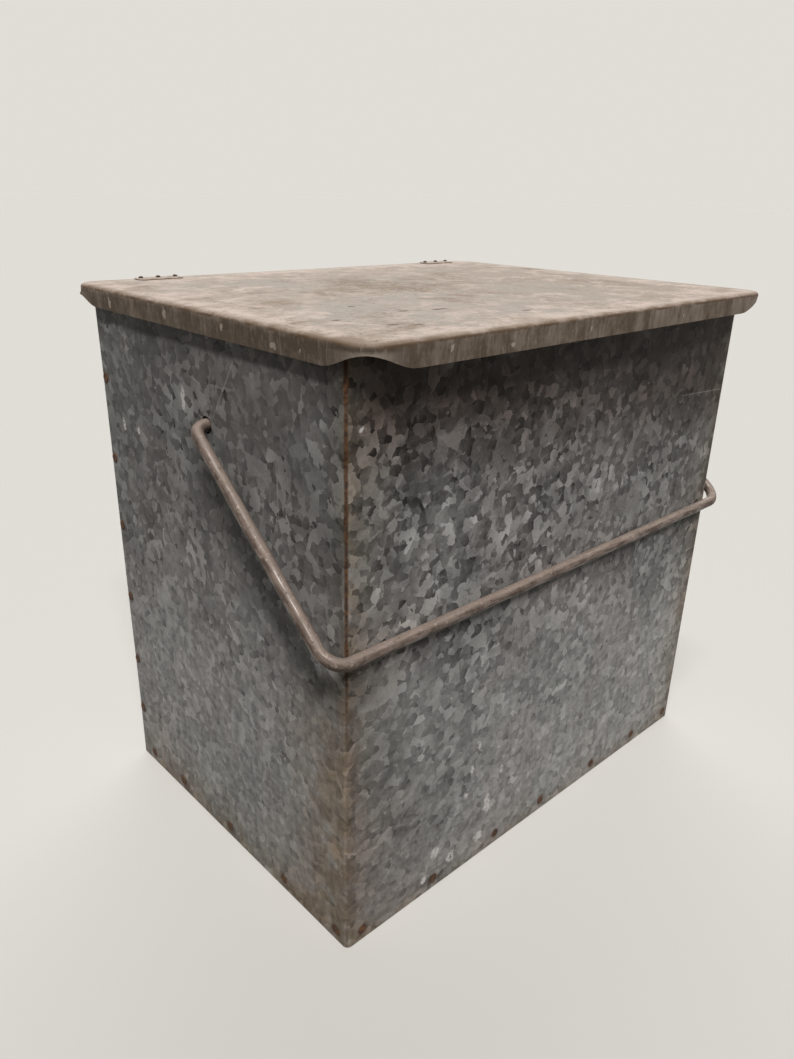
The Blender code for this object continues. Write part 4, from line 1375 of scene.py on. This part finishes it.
for side in SIDES:
    body_node, lid_node = f"hinge_body_leaf_{side}", f"hinge_lid_leaf_{side}"
    low, high = corners_of(body_node)
    ends = (low[0], high[0])
    flat = joined(low[1], np.linspace(low[2], axis_z, FLAT_STEPS))[:-1]
    body_profile = np.concatenate([flat, roll(math.pi, meeting - math.pi)])
    add_leaf(f"hinge_body_{side}", body_profile, ends, KNUCKLE / 2, True, "box", body_node)
    _, lid_leaf_high = corners_of(lid_node)
    leg_z = lid_leaf_high[2] - STRIP
    elbow = (axis_y + BARREL + ELBOW, leg_z - ELBOW)
    lid_profile = np.concatenate([
        joined(np.linspace(lid_leaf_high[1], elbow[0], LEG_STEPS), leg_z)[:-1],
        arc(elbow, ELBOW, np.linspace(math.pi / 2, math.pi, ELBOW_STEPS)),
        roll(0, meeting - 2 * math.pi),
    ])
    add_leaf(f"hinge_lid_{side}", lid_profile, ends, KNUCKLE / 2 + FIT, False, "lid", lid_node)

# %% [markdown]
# ## Pins, straps, rivets and welds
#
# The small round things are profiles turned round an axis: a list of radii and heights that starts
# and ends in a point. Rivet heads are low domes, and spot welds are shallow craters with a raised
# rim.

# %% Turned pieces
ROUND_SIDES = 32
OFF_AXIS = [0.3, 0.9, 0.2]
PIN_ROUND = 0.5 * MM
EDGE_STEPS = 5


def turned_body(radii, heights, origin, axis):
    """A profile of radii and heights turned round an axis through the origin."""
    axis = unit(np.array(axis, float))
    first = unit(np.cross(axis, OFF_AXIS))
    second = np.cross(axis, first)
    angle = np.linspace(0, 2 * np.pi, ROUND_SIDES, endpoint=False)[:, None]
    spoke = first * np.cos(angle) + second * np.sin(angle)
    return origin + np.reshape(heights, (-1, 1, 1)) * axis + np.reshape(radii, (-1, 1, 1)) * spoke


def add_turned(name, radii, heights, origin, axis, body, node):
    """A turned body as a piece of rusty steel."""
    grid = turned_body(radii, heights, origin, axis)
    add_piece(name, grid, capped_faces(grid), body, "rusty_steel", [node])


edge_angle = np.radians(np.linspace(0, 90, EDGE_STEPS))
end_radii = PIN_RADIUS - PIN_ROUND + PIN_ROUND * np.sin(edge_angle)
end_depths = PIN_ROUND * (1 - np.cos(edge_angle))
pin_radii = np.concatenate([[0], end_radii, end_radii[::-1], [0]])
pin_origin = np.array([0, axis_y, axis_z])
for side in SIDES:
    low, high = corners_of(f"hinge_pin_{side}")
    first_end, last_end = low[0] + end_depths, high[0] - end_depths[::-1]
    places = np.concatenate([[low[0]], first_end, last_end, [high[0]]])
    add_turned(
        f"pin_{side}", pin_radii, places, pin_origin, (1, 0, 0), "box", f"hinge_pin_{side}",
    )

# %% Rivets
SHANK = 1.0 * MM
HEAD = 1.4 * MM
HEAD_HEIGHT = 0.8 * MM
HEAD_FLATNESS = 0.8
TAIL = 1.8 * MM
TAIL_FACE = 0.8 * TAIL
TAIL_HEIGHT = 0.6 * MM
DOME_STEPS = 9
dome = np.radians(np.linspace(0, 90, DOME_STEPS))
rivet_radii = np.concatenate([
    [0, TAIL_FACE, TAIL, TAIL, SHANK, SHANK], HEAD * np.cos(dome) ** HEAD_FLATNESS,
])


def rivet_places(low, high):
    """Heights of a rivet's profile between its lowest and highest point along its axis."""
    head = high - HEAD_HEIGHT
    tail = low + TAIL_HEIGHT
    shank = [low, low, low + TAIL_HEIGHT / 3, tail, tail, head]
    return np.concatenate([shank, head + HEAD_HEIGHT * np.sin(dome)])


for name in sorted(frame["nodes"]):
    if "rivet" in name:
        low, high = corners_of(name)
        body, along_axis = ("lid", 2) if name.startswith("lid") else ("box", 1)
        axis = np.eye(3)[along_axis]
        origin = (low + high) / 2 * (1 - axis)
        places = rivet_places(low[along_axis], high[along_axis])
        add_turned(name + "_turned", rivet_radii, places, origin, axis, body, name)

# %% Straps
STRAP_CORNER = 2.5 * MM
STRAP_EDGE = 0.25 * MM
strap_radii = STRAP_CORNER - STRAP_EDGE + STRAP_EDGE * np.sin(edge_angle)
strap_radii = np.append(strap_radii, strap_radii[::-1])
edge_depths = STRAP_EDGE * (1 - np.cos(edge_angle))

for side in SIDES:
    low, high = corners_of(f"hinge_strap_{side}")
    half = (high - low) / 2
    middle = (high + low) / 2
    outline = rounded_frame(half[0], half[1], STRAP_CORNER, middle[1])
    levels = np.append(high[2] - edge_depths, low[2] + edge_depths[::-1])
    rows = with_plate(rings(outline, strap_radii, levels))
    underside = np.broadcast_to([0, middle[1], low[2]], (1, rows.shape[1], 3))
    strap = np.concatenate([rows, underside]) + [middle[0], 0, 0]
    add_piece(
        f"strap_{side}", strap, capped_faces(strap), "lid", "rusty_steel",
        [f"hinge_strap_{side}"], finish=strap_finish,
    )

# %% Spot welds
WELD_RADIUS = 2.7 * MM
WELD_RIM = 0.22 * MM
weld_radii = np.array([0, 0.35, 0.6, 0.8, 0.92, 1.0, 1.0, 0]) * WELD_RADIUS
weld_heights = np.array([0.1, 0.15, 0.6, 1.0, 0.7, 0.0, -1.5, -1.5]) * WELD_RIM
on_walls = (len(FRONT_WELDS), len(side_spots), len(side_spots))
weld_axis = np.repeat([[0, -1, 0], [1, 0, 0], [-1, 0, 0]], on_walls, axis=0)
discs = np.stack([
    turned_body(weld_radii, weld_heights, place, axis)
    for place, axis in zip(weld_spots, weld_axis)
])
starts = np.arange(len(discs)) * len(weld_radii) * ROUND_SIDES
weld_faces = (capped_faces(discs[0]) + starts[:, None, None]).reshape(-1, 4)
add_piece("spot_welds", discs, weld_faces, "box", "rusty_steel", finish=weld_finish)

# %% [markdown]
# ## Floor and light
#
# The box stands on a plain pale floor under a soft light from above, which leaves its walls much
# darker than its lid and throws the lid's shadow on them. A row of six suns does that, from nearly
# overhead to well in front, like one long lamp: under the lid only the front ones reach the wall,
# so the shadow fades slowly. A wide sun lights the back. The world adds a low fill, and only
# cameras, mirrors and glass see its pale backdrop.

# %% Floor
FLOOR_REACH = 30.0
FLOOR_DROP = 0.4 * MM
FLOOR_PALE = rgb(0.765, 0.74, 0.69)
FLOOR_DIM = rgb(0.08, 0.079, 0.076)


def seen_directly(tree):
    """1 for what the camera, mirrors and glass see, and 0 for light that a surface gathers."""
    start = Wire(tree)
    kinds = ("Camera", "Glossy", "Transmission")
    first, second, third = (start.node("LightPath", {}, {}, f"Is {kind} Ray") for kind in kinds)
    return start.math("MAXIMUM", first, start.math("MAXIMUM", second, third))


floor_mesh = bpy.data.meshes.new("floor")
floor_corners = FLOOR_REACH * np.array([[-1, -1, 0], [1, -1, 0], [1, 1, 0], [-1, 1, 0]])
floor_corners = floor_corners - [0, 0, FLOOR_DROP]
floor_mesh.from_pydata(floor_corners.tolist(), [], [(0, 1, 2, 3)])
floor = new_object("floor", floor_mesh)
floor_finish, floor_shader, _ = new_finish("pale_floor")
floor_colour = mix(seen_directly(floor_finish.node_tree), FLOOR_DIM, FLOOR_PALE)
feed(floor_shader, Base_Color=floor_colour, Roughness=0.9, Specular_IOR_Level=0.0)
floor_mesh.materials.append(floor_finish)
print("floor:", floor.name)

# %% Light
SUN_LEAN = -0.35
SUN_FRONTS = (-0.15, -0.27, -0.40, -0.53, -0.66, -0.80)
SUN_WIDTH = math.radians(6.5)
SUN_SHARE = 0.76
BACK_LIGHT = (1.0, 1.0, 0.9)
BACK_WIDTH = math.radians(60)
BACK_SHARE = 0.17
FILL_SHARE = 0.05
FILL_COLOUR = rgb(0.96, 0.98, 1.0)


def add_sun(name, to_light, width, share):
    """A sun that gives a level surface a share of the light that shows a colour as written."""
    towards = Vector(to_light)
    sun = bpy.data.lights.new(name, "SUN")
    sun.angle = width
    sun.energy = share * math.pi * towards.length / towards.z
    lamp = new_object(name, sun)
    lamp.rotation_euler = towards.to_track_quat("Z", "Y").to_euler()


for k, front in enumerate(SUN_FRONTS):
    add_sun(f"strip_{k}", (SUN_LEAN, front, 1.0), SUN_WIDTH, SUN_SHARE / len(SUN_FRONTS))
add_sun("back_light", BACK_LIGHT, BACK_WIDTH, BACK_SHARE)

world = bpy.data.worlds.new("studio")
world.use_nodes = True
world.node_tree.nodes.clear()
bpy.context.scene.world = world
sky = Wire(world.node_tree)
fill = sky.node("Background", {}, {"Color": FILL_COLOUR, "Strength": FILL_SHARE})
all_light = SUN_SHARE + BACK_SHARE + FILL_SHARE
backdrop = sky.node("Background", {}, {"Color": FLOOR_PALE, "Strength": all_light})
both = sky.node("MixShader", {}, {0: seen_directly(world.node_tree), 1: fill, 2: backdrop})
sky.node("OutputWorld", {}, {"Surface": both})
bpy.context.scene.view_settings.view_transform = "Standard"
print(f"light: strip {SUN_SHARE}, back {BACK_SHARE}, fill {FILL_SHARE}")

# %% End
print("scene built")
